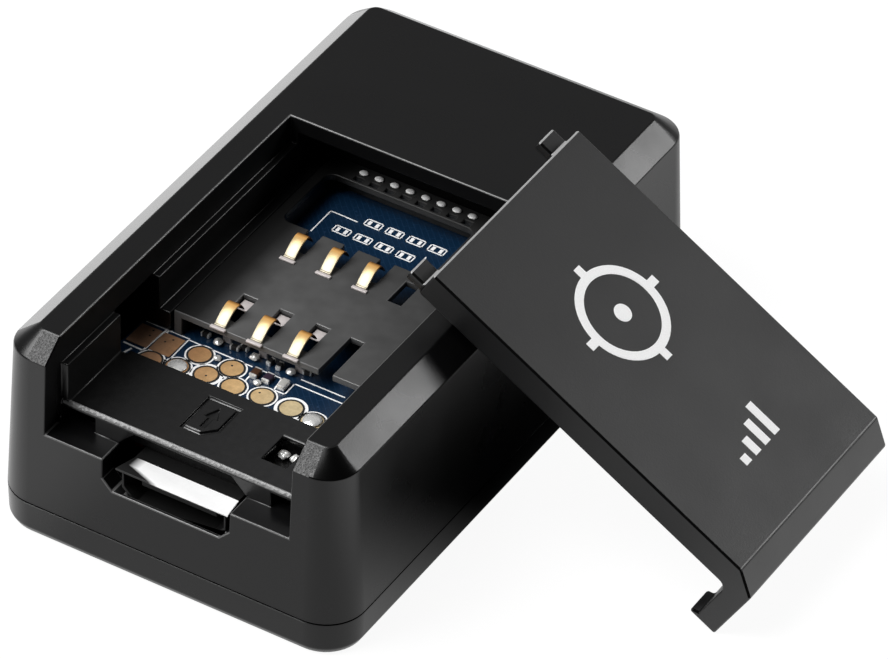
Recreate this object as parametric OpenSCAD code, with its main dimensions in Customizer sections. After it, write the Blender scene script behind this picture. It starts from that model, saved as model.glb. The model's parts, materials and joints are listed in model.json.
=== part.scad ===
// A pocket location tracker with its card cover taken off and leaning on the case.
// Millimetres. X runs across the case, Y from the charging socket to the back,
// Z up from the surface that it lies on. The origin is the centre of the base.

/* [Case] */
// Width across the flat sides, where the top chamfer starts
case_w = 23.42; // [22.4:0.01:30]
// Length between the end faces, at the same height
case_l = 40.16; // [39:0.01:52]
// Height from the surface to the top face
case_h = 14.25; // [13.8:0.01:18]
// Width of the top chamfer, seen from above
chamfer_w = 1.57; // [0.8:0.01:1.9]
// Height of the top chamfer
chamfer_h = 1.26; // [0.6:0.01:2]
// How far each side spreads out from the chamfer down to the seam
draft = 0.51; // [0:0.01:1]
// Radius of the upright corners, where the top chamfer starts
corner_r = 2.15; // [2:0.01:4]
// Height of the seam between the two case halves
seam_z = 2.4; // [2.2:0.01:3.2]
// Height of the groove along the seam
seam_gap = 0.1; // [0:0.01:0.2]
// Thickness of the side walls
wall = 1.3; // [0.9:0.01:1.5]
// Thickness of the top
top_t = 1.15; // [0.8:0.01:1.4]
// Thickness of the floor
floor_t = 1.2; // [0.8:0.01:1.4]
// How far the base edge is drawn in
base_inset = 0.35; // [0:0.01:0.8]
// Height over which the base edge is drawn in
base_round = 0.5; // [0.2:0.01:1]
// Height of the rim that locates the two halves, above the seam
rim_h = 1.4; // [0.6:0.01:2]
// Thickness of that rim
rim_t = 0.7; // [0.4:0.01:1]
// Gap between the rim and the wall around it
rim_gap = 0.15; // [0.1:0.01:0.3]
// Radius of the posts that clamp the board
post_r = 0.9; // [0.6:0.01:1.1]

/* [Card well] */
// Width of the opening in the top
well_w = 16.9; // [16:0.01:18]
// Length of the opening, from the front face back
well_l = 26.48; // [25.5:0.01:28]
// Width of the ledge that the cover rests on
seat_w = 0.5; // [0.35:0.01:0.7]
// Play between the cover and the ledge under it
seat_play = 0.05; // [0:0.01:0.3]
// Thickness of the rails along the well, outside the opening
rail_t = 0.6; // [0.4:0.01:0.9]
// Thickness of the wall between the card holder and the antenna
screen_t = 0.4; // [0.3:0.01:0.6]
// Gap between the card holder and that wall
screen_gap = 0.1; // [0.05:0.01:0.3]
// How far the guides along the card holder lie below its top
guide_drop = 0.3; // [0.1:0.01:0.8]
// Gap between those guides and the card holder
guide_gap = 0.2; // [0.1:0.01:0.4]
// Gap between the rails and the board under them
rail_gap = 0.1; // [0.05:0.01:0.4]
// Depth of the notch in the front wall, front to back
notch_l = 1.53; // [1.4:0.01:2]
// Height of the notch floor
notch_z = 8.0; // [7.8:0.01:8.5]
// Thickness of the notch floor
notch_t = 0.8; // [0.5:0.01:1.2]
// Thickness of the gate wall behind the notch
gate_t = 0.8; // [0.5:0.01:1.2]
// Length of the front bay, where the ledge hasn't started
bay_l = 0.05; // [0:0.01:1]
// Height of the deck that guides the card
deck_z = 9.47; // [9.2:0.01:10]
// Thickness of the deck
deck_t = 0.41; // [0.3:0.01:0.6]
// Length of the deck, front to back
deck_l = 6.0; // [4:0.01:6.4]
// Size of the bevel along the deck's front edge
deck_edge = 0.2; // [0:0.01:0.35]
// Gap between the deck and the side pockets
pocket_gap = 0.35; // [0:0.01:1]
// Length of the pocket in each rail behind the deck
pocket_l = 4.1; // [2:0.01:5]
// Width of each latch window
latch_w = 2.35; // [2.2:0.01:3]
// Width of the access hole in the deck
hole_w = 1.7; // [1:0.01:2.5]
// Length of the access hole
hole_l = 2.4; // [1:0.01:3]
// Middle of the access hole, right of the centre line
hole_x = 5.05; // [3:0.01:6]
// Middle of the access hole, behind the deck's front edge
hole_back = 3.15; // [2:0.01:4]
// Width of the engraved card outline
icon_w = 2.25; // [1.5:0.01:3]
// Length of the engraved card outline
icon_l = 3.25; // [2:0.01:4]
// Middle of the engraved outline, left of the centre line
icon_left = 0.22; // [0:0.01:2]
// Middle of the engraved outline, behind the deck's front edge
icon_back = 3.4; // [2.5:0.01:4]
// Width of the engraved line
icon_line = 0.2; // [0.08:0.01:0.3]
// Depth of the engraving
icon_depth = 0.2; // [0.05:0.01:0.25]

/* [Cover] */
// Width of the cover
cover_w = 16.4; // [16:0.01:16.7]
// Thickness of the cover plate
cover_t = 1.95; // [1.5:0.01:2.2]
// Gap between the closed cover and the back edge of the well
cover_gap = 0.3; // [0.1:0.01:0.6]
// Depth of the lip below the cover's top face
lip_h = 5.65; // [5.2:0.01:6]
// Thickness of the lip
lip_t = 1.5; // [1:0.01:1.8]
// Radius of the inside corner between plate and lip
lip_fillet = 0.6; // [0.2:0.01:0.9]
// Width of each latch tooth
tooth_w = 2.0; // [1:0.01:2.2]
// Height of each latch tooth at its root
tooth_h = 0.45; // [0.3:0.01:0.6]
// How far each latch tooth stands out from the lip
tooth_out = 0.46; // [0.2:0.01:0.6]
// Width of each tab on the other end
tab_w = 1.6; // [1:0.01:2.5]
// Length of each tab
tab_l = 1.15; // [0.6:0.01:1.6]
// Thickness of each tab
tab_t = 0.68; // [0.4:0.01:0.75]
// Distance of each tab from the cover's side
tab_in = 0.15; // [0:0.01:3]
// Height of the two ribs that hold the card down
rib_h = 1.0; // [0.5:0.01:1.2]
// Width of those ribs
rib_w = 0.8; // [0.4:0.01:1.5]
// Distance between the middles of the ribs
rib_pitch = 10.0; // [6:0.01:13]
// Distance from the tab end to the ribs
rib_start = 1.5; // [0.5:0.01:2]
// Distance from the ribs to the lip end
rib_end = 5.0; // [3:0.01:8]
// Distance from the tab end to the point where the loose cover rests on the case
rest_at = 2.75; // [1.6:0.01:8]
// How far behind the middle of the case the loose cover stands
cover_y = 2.0; // [-4:0.01:6]
// Gap between the loose cover and the case edge that it leans on
lean_gap = 0.04; // [0.02:0.01:0.2]

/* [Printed mark] */
// Diameter of the printed ring
mark_d = 6.4; // [3:0.01:9]
// Width of the printed lines
mark_line = 0.6; // [0.3:0.01:1]
// Thickness of the ink
ink_t = 0.03; // [0.02:0.01:0.1]
// Middle of the ring, from the tab end
mark_at = 9.4; // [6:0.01:11]
// Middle of the row of bars, from the tab end
bars_at = 19.6; // [17:0.01:22]
// Length of the longest bar
bar_l = 2.4; // [1:0.01:4]
// Distance between the bars
bar_pitch = 1.1; // [0.8:0.01:1.6]
// Number of bars
bar_count = 4; // [2:1:6]

/* [Card holder] */
// Left edge of the holder, from the centre line
holder_left = 7.0; // [6.6:0.01:7.3]
// Right edge of the holder, from the centre line
holder_right = 6.8; // [6:0.01:7.2]
// Distance from the front face to the holder
holder_at = 11.33; // [11:0.01:11.6]
// Length of the holder
holder_l = 17.75; // [17.6:0.01:18]
// Height of the holder above the board
holder_h = 1.75; // [1.5:0.01:1.9]
// Thickness of the holder's top plate
holder_t = 0.45; // [0.3:0.01:0.6]
// Thickness of the holder's side walls
holder_wall = 0.6; // [0.5:0.01:1.2]
// Length of the rail that holds the small card's contacts
reader_l = 1.6; // [1.4:0.01:2]
// Length of the window in front of that rail
window_l = 5.4; // [4:0.01:5.6]
// Distance of the window from the holder's left edge
window_left = 0.7; // [0.6:0.01:2]
// Radius of the window's corners
window_r = 0.6; // [0.2:0.01:1]
// Right edge of the window, from the centre line
window_right = 4.1; // [3.5:0.01:5]
// Width of the two slots beside the contacts
slot_w = 0.95; // [0.5:0.01:1.2]
// Length of the front slot
slot_front_l = 3.55; // [2:0.01:5]
// Length of the middle slot
slot_mid_l = 2.15; // [1:0.01:3]
// Gap between the middle slot and the window
slot_mid_gap = 0.95; // [0.5:0.01:2]

/* [Card contacts] */
// Distance between contacts across the card
contact_pitch = 2.54; // [2.3:0.01:2.8]
// Distance between the two rows of contacts
row_pitch = 7.62; // [7:0.01:8]
// Middle contact column, left of the centre line
contact_left = 1.28; // [1:0.01:2]
// Distance from the holder's front edge to the crest of the front row
row_in = 1.56; // [1.5:0.01:1.8]
// Width of a contact
leaf_w = 0.76; // [0.65:0.01:1.1]
// Thickness of a contact
leaf_t = 0.14; // [0.1:0.01:0.2]
// Height of the crest above the holder
leaf_h = 0.7; // [0.4:0.01:0.8]
// Distance from a contact's fixed foot to its crest
leaf_rise = 1.42; // [1.3:0.01:1.5]
// Distance from the crest to the free end
leaf_fall = 0.66; // [0.5:0.01:0.9]
// Gap between a contact and the holder around it
leaf_gap = 0.11; // [0.1:0.01:0.2]
// Radius of the rolled root that a contact bends about
root_r = 0.09; // [0.08:0.01:0.12]
// Gap between a contact and its fixed foot
foot_gap = 0.03; // [0.02:0.01:0.06]
// Width of a fixed foot
foot_w = 1.04; // [0.8:0.01:1.6]
// Length of a fixed foot
foot_l = 0.36; // [0.2:0.01:0.4]
// Width of the tail that runs from the plate down to the board
tail_w = 0.6; // [0.4:0.01:1]
// Distance from a contact's root back to its tail, under the plate
tail_in = 0.75; // [0.7:0.01:0.9]
// Length of the fixed tab behind a front contact
end_tab_l = 0.86; // [0.4:0.01:0.9]
// Gap between a contact's free end and that tab
end_tab_gap = 0.34; // [0.1:0.01:0.4]
// Distance between the small card's contacts
reader_pitch = 1.1; // [1:0.01:1.15]
// Number of contacts for the small card
reader_count = 8; // [6:1:8]
// Width of each of those contacts
reader_w = 0.62; // [0.3:0.01:0.7]
// Middle of those contacts, left of the centre line
reader_left = 0.57; // [0:0.01:1]
// Length of each of those contacts, front to back
reader_d = 0.5; // [0.3:0.01:0.5]
// Height of those contacts above the rail
reader_h = 0.2; // [0.08:0.01:0.2]

/* [Board] */
// Gap between the board and the side walls, at the top
board_side_gap = 1.21; // [0.9:0.01:1.6]
// Front edge of the board, behind the gate wall
board_gap = 0.15; // [0.1:0.01:0.5]
// Gap between the board and the back wall
board_back_gap = 0.4; // [0.2:0.01:1]
// Height of the board's top face
board_z = 8.4; // [8.35:0.01:8.6]
// Thickness of the board
board_t = 0.8; // [0.6:0.01:0.9]
// Radius of the round test pads
pad_r = 0.72; // [0.4:0.01:0.8]
// Thickness of the pads
pad_t = 0.05; // [0.03:0.01:0.1]
// Radius of the solder joint at a contact's tail
joint_r = 0.33; // [0.2:0.01:0.34]
// How far a solder joint lies left of the middle of its tail
joint_left = 0.35; // [0.2:0.01:0.4]
// Radius of a loose solder bead
bead_r = 0.3; // [0.2:0.01:0.32]
// Length of a small resistor
chip_l = 0.8; // [0.6:0.01:0.9]
// Width of a small resistor
chip_w = 0.5; // [0.3:0.01:0.55]
// Height of a small resistor
chip_h = 0.35; // [0.2:0.01:0.45]

/* [Charging socket] */
// Width of the socket's shell
usb_w = 7.2; // [7.1:0.01:7.8]
// Height of the socket's shell
usb_h = 2.15; // [2.1:0.01:2.4]
// Length of the socket's shell
usb_l = 5.6; // [5:0.01:6]
// Thickness of the shell's metal
usb_t = 0.15; // [0.12:0.01:0.3]
// Size of the two bevels along the shell's lower edges
usb_bevel = 0.85; // [0.5:0.01:1]
// Middle of the socket, right of the centre line
usb_x = 0.4; // [0:0.01:0.4]
// How far the socket's mouth lies behind the case's front edge
usb_in = -0.02; // [-0.1:0.01:0.3]
// How far the shell's upper lip stands out from the mouth
usb_lip = 0.25; // [0.1:0.01:0.3]
// Gap between the socket and the pocket in the front wall
usb_gap = 0.05; // [0.03:0.01:0.2]
// Width of the window in the front wall
usb_win_w = 8.8; // [8.6:0.01:9.6]
// How far the window reaches below the notch floor
usb_win_h = 2.08; // [2:0.01:2.4]
// Size of the window's lower corners
usb_win_low = 0.7; // [0.3:0.01:1]
// Size of the window's upper corners
usb_win_high = 1.05; // [0.4:0.01:1.06]
// Width of the plastic tongue
tongue_w = 5.2; // [3.5:0.01:5.4]
// Thickness of the tongue
tongue_t = 0.7; // [0.5:0.01:0.8]
// Gap between the tongue and the shell above it
tongue_gap = 0.3; // [0.2:0.01:0.5]
// How far the tongue stays behind the socket's mouth
tongue_in = 0.6; // [0.2:0.01:1.2]
// Thickness of the plastic at the back of the socket
tongue_base = 1.0; // [0.6:0.01:1.4]
// Number of contacts in the socket
usb_pins = 5; // [4:1:5]
// Distance between those contacts
usb_pitch = 0.65; // [0.6:0.01:0.8]
// Width of each of those contacts
usb_pin_w = 0.3; // [0.2:0.01:0.4]
// Thickness of each of those contacts
usb_pin_t = 0.12; // [0.08:0.01:0.15]

/* [Power] */
// Gap between the battery cell and the rim beside it
cell_side_gap = 1.27; // [1:0.01:3]
// Gap between the battery cell and the posts behind it
cell_back_gap = 0.4; // [0.2:0.01:4]
// Thickness of the battery cell
cell_t = 3.3; // [3:0.01:3.35]
// Distance from the front face to the cell
cell_at = 8.58; // [8.2:0.01:9]
// Radius of the cell's rounded edges
cell_r = 1.2; // [0.5:0.01:1.4]
// Thickness of the foam that the cell lies on
foam_t = 1.4; // [1.35:0.01:1.45]
// Gap between the foam and the magnet pockets
foam_gap = 1.3; // [0.4:0.01:2]
// Thickness of the insulating sheet on the cell
sheet_t = 0.15; // [0.1:0.01:0.2]
// Thickness of the cell's protection board
guard_t = 0.8; // [0.6:0.01:1]
// Height of the cell's protection board
guard_h = 2.6; // [2:0.01:2.8]
// Width of the cell's protection board
guard_w = 14.0; // [12:0.01:16]
// Diameter of the battery leads
lead_d = 0.9; // [0.6:0.01:1.1]
// Radius of the bend in the battery leads
lead_bend = 1.8; // [1.2:0.01:2]
// Place of the red lead, left of the centre line
lead_red = 5.4; // [5:0.01:5.8]
// Distance between the two leads
lead_pitch = 1.4; // [1.2:0.01:1.5]
// Radius of each holding magnet
magnet_r = 4.5; // [3:0.01:5]
// Thickness of each holding magnet
magnet_t = 1.8; // [1:0.01:1.9]
// Distance from each end face to the nearer magnet
magnet_end = 3.58; // [3:0.01:4]
// Gap between a magnet and the wall of its pocket
magnet_gap = 0.08; // [0.02:0.01:0.2]
// Wall around and above each magnet
magnet_wall = 0.7; // [0.5:0.01:0.8]

/* [Radio parts] */
// Width of the shield can under the board
shield_w = 13.6; // [12:0.01:14.4]
// Length of the shield can
shield_l = 13.0; // [10:0.01:14]
// Height of the shield can
shield_h = 1.4; // [1.2:0.01:1.45]
// Thickness of the shield can's metal
shield_t = 0.2; // [0.15:0.01:0.25]
// Distance from the front face to the middle of the shield can
shield_at = 18.1; // [16.5:0.01:20]
// Side of the processor
cpu_w = 7.6; // [6:0.01:8]
// Height of the processor
cpu_h = 0.9; // [0.6:0.01:1]
// Side of the power chip
power_w = 4.0; // [3:0.01:5]
// Height of the power chip
power_h = 0.8; // [0.6:0.01:1]
// Length of the crystal can
crystal_l = 3.2; // [2:0.01:3.4]
// Width of the crystal can
crystal_w = 2.5; // [1.6:0.01:2.6]
// Height of the crystal can
crystal_h = 0.75; // [0.5:0.01:1]
// Width of the ceramic antenna
patch_w = 8.4; // [7:0.01:8.6]
// Air above the ceramic antenna
patch_air = 1.35; // [0.5:0.01:2]
// Gap between the ceramic antenna and the wall, the board's edge and the post
patch_gap = 0.3; // [0.2:0.01:0.5]
// Thickness of the silver faces on the ceramic antenna
silver_t = 0.05; // [0.03:0.01:0.1]
// Share of the ceramic's width and length that the silver face covers
silver_share = 0.83; // [0.5:0.01:0.95]
// Radius of the silver face's pin
silver_pin_r = 0.4; // [0.2:0.01:0.6]
// Thickness of the flexible antenna under the top
flex_t = 0.15; // [0.1:0.01:0.25]
// Distance from the flexible antenna to the board's sides, seen from above
flex_in = 1.5; // [1.3:0.01:3]
// Width of the antenna spring
spring_w = 1.4; // [1:0.01:2]
// Length of the antenna spring's foot, as a share of the ceramic antenna's length
spring_share = 0.3; // [0.2:0.01:0.4]
// Thickness of the antenna spring
spring_t = 0.2; // [0.15:0.01:0.3]
// Place of the antenna spring, left of the centre line
spring_left = 5.5; // [4:0.01:6.5]
// Radius of the microphone
mic_r = 2.0; // [1.5:0.01:2.5]
// Height of the microphone
mic_h = 1.3; // [1:0.01:1.4]
// Place of the microphone, left of the centre line
mic_left = 5.4; // [4:0.01:6]

/* [Hidden] */

$fn = 48;
// How far a cut runs past the face that it opens
over = 0.4;
// Thickness of the slabs that the rounded shells are stretched between
slab_t = 0.01;

half_w = case_w / 2;
half_l = case_l / 2;
well_half = well_w / 2;
seat_half = well_half - seat_w;
rail_half = well_half + rail_t;
well_back = well_l - half_l;
gate_y = notch_l - half_l;
gate_back = gate_y + gate_t;
bay_back = gate_y + bay_l;
deck_back = gate_y + deck_l;
pocket_front = deck_back - pocket_gap;
seat_z = case_h - cover_t - seat_play;
ceiling_z = case_h - top_t;
rail_z = board_z + rail_gap;
board_under = board_z - board_t;
board_front = gate_back + board_gap;
board_back = half_l - wall - board_back_gap;
post_front = board_front + post_r;
post_rear = board_back - post_r;
inner_half_w = half_w + draft - wall - rim_gap - rim_t;
inner_half_l = half_l + draft - wall - rim_gap - rim_t;
post_x = inner_half_w - post_r - rim_gap;
board_w = case_w - 2 * wall - 2 * board_side_gap;

cover_l = well_l - cover_gap;
cover_half = cover_w / 2;
under = cover_t + rib_h + lean_gap;
lean_long = cover_l - rest_at;
lean_short = lip_h - under;
lean_reach = sqrt(lean_long * lean_long + lean_short * lean_short);
lean = asin(case_h / lean_reach) - atan2(lean_short, lean_long);
holder_y = holder_at - half_l;
holder_end = holder_y + holder_l;
holder_z = board_z + holder_h;
root_z = holder_z + root_r;
front_root = holder_y + row_in - leaf_rise;
window_back = holder_end - reader_l;
window_front = window_back - window_l;
usb_mouth = usb_in - half_l;
usb_z = board_under - usb_h;
magnet_y = half_l - magnet_end - magnet_r;
foam_z = floor_t;
foam_l = 2 * (magnet_y - magnet_r - magnet_wall - foam_gap);
cell_z = foam_z + foam_t;
cell_w = 2 * (inner_half_w - cell_side_gap);
cell_y = cell_at - half_l;
cell_end = post_rear - post_r - cell_back_gap;
shield_y = shield_at - half_l;
patch_x = post_x - post_r - patch_gap - patch_w / 2;
screen_back = holder_end + screen_gap + screen_t;
patch_l = board_back - screen_back - 2 * patch_gap;
patch_y = screen_back + patch_gap + patch_l / 2;
flex_w = board_w - 2 * flex_in;
flex_l = patch_l - 2 * patch_gap;
patch_h = ceiling_z - flex_t - patch_air - board_z;
spring_l = patch_l * spring_share;

// A rectangle with round corners, centred on the origin
module round_rect(w, l, r) {
    square([w - 2 * r, l], center = true);
    square([w, l - 2 * r], center = true);
    for (sx = [-1, 1], sy = [-1, 1])
        translate([sx * (w / 2 - r), sy * (l / 2 - r)]) circle(r);
}

// A block given by its low and high corners
module block(low, high) {
    translate(low) cube(high - low);
}

// The same block on both sides of the centre line
module both_sides() {
    children();
    mirror([1, 0, 0]) children();
}

// A thin slab of the case outline, grown by a distance on every side
module case_slab(z, grow) {
    translate([0, 0, z])
        linear_extrude(slab_t)
            round_rect(case_w + 2 * grow, case_l + 2 * grow, corner_r + grow);
}

module upper_outer() {
    hull() {
        case_slab(seam_z + seam_gap, draft);
        case_slab(case_h - chamfer_h, 0);
        case_slab(case_h - slab_t, -chamfer_w);
    }
}

module upper_inner() {
    hull() {
        case_slab(seam_z - over, draft - wall);
        case_slab(ceiling_z - slab_t, -wall);
    }
}

// Rails and guides along the well, its rear wall, the deck, the gate wall and the notch floor
module well_frame() {
    both_sides()
        block([seat_half, gate_y - notch_l / 4, rail_z],
              [rail_half, screen_back, ceiling_z + top_t / 2]);
    block([-rail_half, screen_back - screen_t, rail_z],
          [rail_half, screen_back, ceiling_z + top_t / 2]);
    guide_front = pocket_front + pocket_l;
    block([-rail_half, guide_front, rail_z],
          [-holder_left - guide_gap, screen_back, holder_z - guide_drop]);
    block([holder_right + guide_gap, guide_front, rail_z],
          [rail_half, screen_back, holder_z - guide_drop]);
    block([-rail_half, gate_y, deck_z - deck_t], [rail_half, deck_back, deck_z]);
    block([-rail_half, gate_y, notch_z - notch_t], [rail_half, gate_back, deck_z]);
    block([-rail_half, -half_l + wall / 2, notch_z - notch_t],
          [rail_half, gate_back, notch_z]);
    both_sides()
        translate([post_x, post_rear, board_z])
            cylinder(r = post_r, h = ceiling_z - board_z + top_t / 2);
}

// The opening in the top, with the notch in front and the pockets in the rails
module well_cuts() {
    high = case_h + over;
    block([-well_half, -half_l - draft - over, notch_z], [well_half, gate_y, high]);
    block([-well_half, gate_y - over, deck_z], [well_half, bay_back, high]);
    block([-well_half, bay_back - over, seat_z], [well_half, well_back, high]);
    both_sides()
        block([seat_half - over, pocket_front, board_z],
              [rail_half + over, pocket_front + pocket_l, seat_z]);
    both_sides()
        block([well_half - latch_w, gate_y - over, notch_z],
              [well_half, gate_back + over, deck_z - deck_t]);
    translate([0, gate_y, deck_z])
        rotate([45, 0, 0])
            cube([2 * well_half, deck_edge * sqrt(2), deck_edge * sqrt(2)], center = true);
    block([hole_x - hole_w / 2, gate_y + hole_back - hole_l / 2, deck_z - deck_t - over],
          [hole_x + hole_w / 2, gate_y + hole_back + hole_l / 2, deck_z + over]);
}

// The window in front of the charging socket, with its four corners cut, and the
// passage behind its lower lip that takes the socket's shell
module usb_window() {
    x = usb_win_w / 2;
    low = notch_z - usb_win_h;
    high = deck_z - deck_t;
    outline = [
        [-x, low + usb_win_low], [-x + usb_win_low, low],
        [x - usb_win_low, low], [x, low + usb_win_low],
        [x, high - usb_win_high], [x - usb_win_high, high],
        [-x + usb_win_high, high], [-x, high - usb_win_high]
    ];
    translate([0, gate_back + over, 0])
        rotate([90, 0, 0])
            linear_extrude(notch_l + gate_t + draft + 2 * over)
                polygon(outline);
    translate([usb_x, gate_back + over, usb_z])
        rotate([90, 0, 0])
            linear_extrude(gate_back + over - usb_mouth + usb_gap)
                usb_outline(-usb_gap);
}

// The outline of a card with one corner cut off, drawn in by a distance
module card_outline(inset) {
    x = icon_w / 2 - inset;
    y = icon_l / 2 - inset;
    cut = icon_w / 3;
    polygon([[-x, -y], [x - cut, -y], [x, -y + cut], [x, y], [-x, y]]);
}

// The engraved outline of a card, with an arrow in it that points into the well
module card_icon() {
    shaft = icon_w / 14;
    head = icon_w / 5;
    reach = icon_l * 3 / 10;
    translate([-icon_left, gate_y + icon_back, deck_z - icon_depth])
        linear_extrude(icon_depth + over) {
            difference() {
                card_outline(0);
                card_outline(icon_line);
            }
            polygon([[-shaft, -reach], [shaft, -reach], [shaft, 0], [head, 0],
                     [0, reach], [-head, 0], [-shaft, 0]]);
        }
}

module upper_case() {
    color([0.13, 0.13, 0.13])
    difference() {
        union() {
            difference() {
                upper_outer();
                upper_inner();
            }
            well_frame();
        }
        well_cuts();
        usb_window();
        card_icon();
    }
}

module bottom_outer() {
    hull() {
        case_slab(0, draft - base_inset);
        case_slab(base_round, draft - base_inset / 6);
        case_slab(seam_z - slab_t, draft);
    }
}

module bottom_cover() {
    rim_w = 2 * (inner_half_w + rim_t);
    rim_l = 2 * (inner_half_l + rim_t);
    rim_r = corner_r + draft - wall - rim_gap;
    color([0.14, 0.14, 0.14])
    difference() {
        union() {
            difference() {
                union() {
                    bottom_outer();
                    translate([0, 0, floor_t])
                        linear_extrude(seam_z + rim_h - floor_t)
                            round_rect(rim_w, rim_l, rim_r);
                }
                translate([0, 0, floor_t])
                    linear_extrude(seam_z + rim_h)
                        round_rect(2 * inner_half_w, 2 * inner_half_l, rim_r - rim_t);
            }
            for (s = [-1, 1])
                translate([0, s * magnet_y, floor_t / 2])
                    cylinder(r = magnet_r + magnet_wall,
                             h = magnet_t + magnet_wall - floor_t / 2);
            for (sx = [-1, 1], y = [post_front, post_rear])
                translate([sx * post_x, y, floor_t / 2])
                    cylinder(r = post_r, h = board_under - floor_t / 2);
        }
        for (s = [-1, 1])
            translate([0, s * magnet_y, -over])
                cylinder(r = magnet_r + magnet_gap, h = magnet_t + over);
    }
}

// Points of the fillet between the plate and the lip, from the lip to the plate
function lip_arc(x, z, r) = [for (a = [0 : 15 : 90]) [x - r + r * cos(a), z - r + r * sin(a)]];

// The cover with its tab end at X = 0, its lip at X = cover_l and its top face at Z = 0
module cover_shape() {
    inner = cover_l - lip_t;
    side = concat(
        [[0, 0], [cover_l - chamfer_w, 0], [cover_l, -chamfer_h], [cover_l, -lip_h],
         [inner, -lip_h]],
        lip_arc(inner, -cover_t, lip_fillet),
        [[0, -cover_t]]
    );
    tooth = [[inner + lip_t / 2, -lip_h], [inner + lip_t / 2, -lip_h + tooth_h],
             [inner, -lip_h + tooth_h], [inner - tooth_out, -lip_h + tooth_h / 2],
             [inner - tooth_out, -lip_h]];
    translate([0, cover_half, 0])
        rotate([90, 0, 0])
            linear_extrude(cover_w)
                polygon(side);
    for (s = [-1, 1]) {
        translate([0, s * (cover_half - tooth_w / 2) + tooth_w / 2, 0])
            rotate([90, 0, 0])
                linear_extrude(tooth_w)
                    polygon(tooth);
        translate([0, s * (cover_half - tab_in - tab_w / 2), 0])
            block([-tab_l, -tab_w / 2, -cover_t], [tab_w, tab_w / 2, tab_t - cover_t]);
        translate([0, s * rib_pitch / 2, 0])
            block([rib_start, -rib_w / 2, -cover_t - rib_h],
                  [cover_l - rib_end, rib_w / 2, -cover_t / 2]);
    }
}

// Sets its children down leaning: the lip on the surface, the ribs on the case edge
module leaning() {
    z0 = cover_l * sin(lean) + lip_h * cos(lean);
    x0 = half_w - chamfer_w - rest_at * cos(lean) + under * sin(lean);
    translate([x0, cover_y, z0]) rotate([0, lean, 0]) children();
}

module access_cover() {
    color([0.24, 0.24, 0.24]) leaning() cover_shape();
}

// A ring with a cross and a dot, and a row of bars that grow in length
module cover_print() {
    r = mark_d / 2;
    tick = mark_line * 2;
    color([0.95, 0.95, 0.95])
    leaning()
        linear_extrude(ink_t) {
            translate([mark_at, 0]) {
                difference() {
                    circle(r);
                    circle(r - mark_line);
                }
                circle(mark_line);
                for (a = [0 : 90 : 270])
                    rotate(a)
                        translate([r - tick / 2, -mark_line / 2]) square([tick, mark_line]);
            }
            for (i = [0 : bar_count - 1])
                translate([bars_at - bar_l / 2, (i - (bar_count - 1) / 2) * bar_pitch])
                    translate([bar_l * (bar_count - 1 - i) / bar_count, -mark_line / 2])
                        square([bar_l * (i + 1) / bar_count, mark_line]);
        }
}

function column_x(i) = -contact_left + (i - 1) * contact_pitch;
function row_root(j) = front_root + j * row_pitch;

// The places of the six contacts: front row first, left to right
module at_contact(k) {
    translate([column_x(k % 3), row_root(floor(k / 3)), 0]) children();
}

module card_holder() {
    slot_x = window_right - slot_w;
    mid_y = window_front - slot_mid_gap;
    slot_long = leaf_rise + leaf_fall + end_tab_gap + end_tab_l;
    color([0.22, 0.22, 0.23])
    difference() {
        block([-holder_left, holder_y, board_z], [holder_right, holder_end, holder_z]);
        block([holder_wall - holder_left, holder_y - over, board_z - over],
              [holder_right - holder_wall, holder_end - holder_wall, holder_z - holder_t]);
        translate([(window_right + window_left - holder_left) / 2,
                   (window_back + window_front) / 2, board_z])
            linear_extrude(holder_h + over)
                round_rect(window_right + holder_left - window_left, window_l, window_r);
        block([slot_x, holder_y - over, board_z],
              [window_right, holder_y + slot_front_l, holder_z + over]);
        block([slot_x, mid_y - slot_mid_l, board_z], [window_right, mid_y, holder_z + over]);
        for (k = [0 : 5])
            at_contact(k) {
                block([-leaf_w / 2 - leaf_gap, tail_in + leaf_t, board_z],
                      [leaf_w / 2 + leaf_gap, slot_long + leaf_gap, holder_z + over]);
            }
        for (i = [0 : reader_count - 1])
            translate([-reader_left + (i - (reader_count - 1) / 2) * reader_pitch,
                       window_back + reader_l / 4, 0])
                block([-reader_w / 2, -reader_l / 8, holder_z - holder_t - over],
                      [reader_w / 2, reader_l / 8, holder_z + over]);
    }
}

// Fixed feet on the plate, the tails that come out under it and run down to the board,
// and the tabs behind the front row
module contact_feet() {
    tab_y = leaf_rise + leaf_fall + end_tab_gap;
    color([0.8, 0.79, 0.75])
    for (k = [0 : 5])
        at_contact(k) {
            y = -foot_gap - root_r;
            block([-foot_w / 2, -foot_l, holder_z], [foot_w / 2, y, holder_z + leaf_t]);
            block([-tail_w / 2, tail_in, board_z],
                  [tail_w / 2, tail_in + leaf_t, holder_z - holder_t]);
            if (k < 3) {
                block([-leaf_w / 2, tab_y, holder_z - holder_t],
                      [leaf_w / 2, tab_y + end_tab_l, holder_z - holder_t + leaf_t]);
                block([-tail_w / 2, tab_y + end_tab_l - leaf_t, board_z],
                      [tail_w / 2, tab_y + end_tab_l, holder_z - holder_t]);
            }
        }
}

// Height of a contact's middle line above its foot
function leaf_line(y) = y < leaf_rise
    ? leaf_h * sin(90 * y / leaf_rise)
    : leaf_h * (2 * cos(60 * (y - leaf_rise) / leaf_fall) - 1);

// One sprung contact: a strip that arches up from its foot and dips at its free end
module sim_contact(k) {
    steps = 20;
    r = leaf_t / 2;
    reach = leaf_rise + leaf_fall;
    ys = [for (i = [0 : steps]) reach * i / steps];
    upper = [for (y = ys) [y, leaf_line(y) + r]];
    lower = [for (i = [steps : -1 : 0]) [ys[i], leaf_line(ys[i]) - r]];
    color([0.95, 0.78, 0.42])
    at_contact(k)
        translate([-leaf_w / 2, 0, root_z])
            rotate([90, 0, 90]) {
                linear_extrude(leaf_w) polygon(concat(upper, lower));
                cylinder(r = root_r, h = leaf_w);
            }
}

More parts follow.
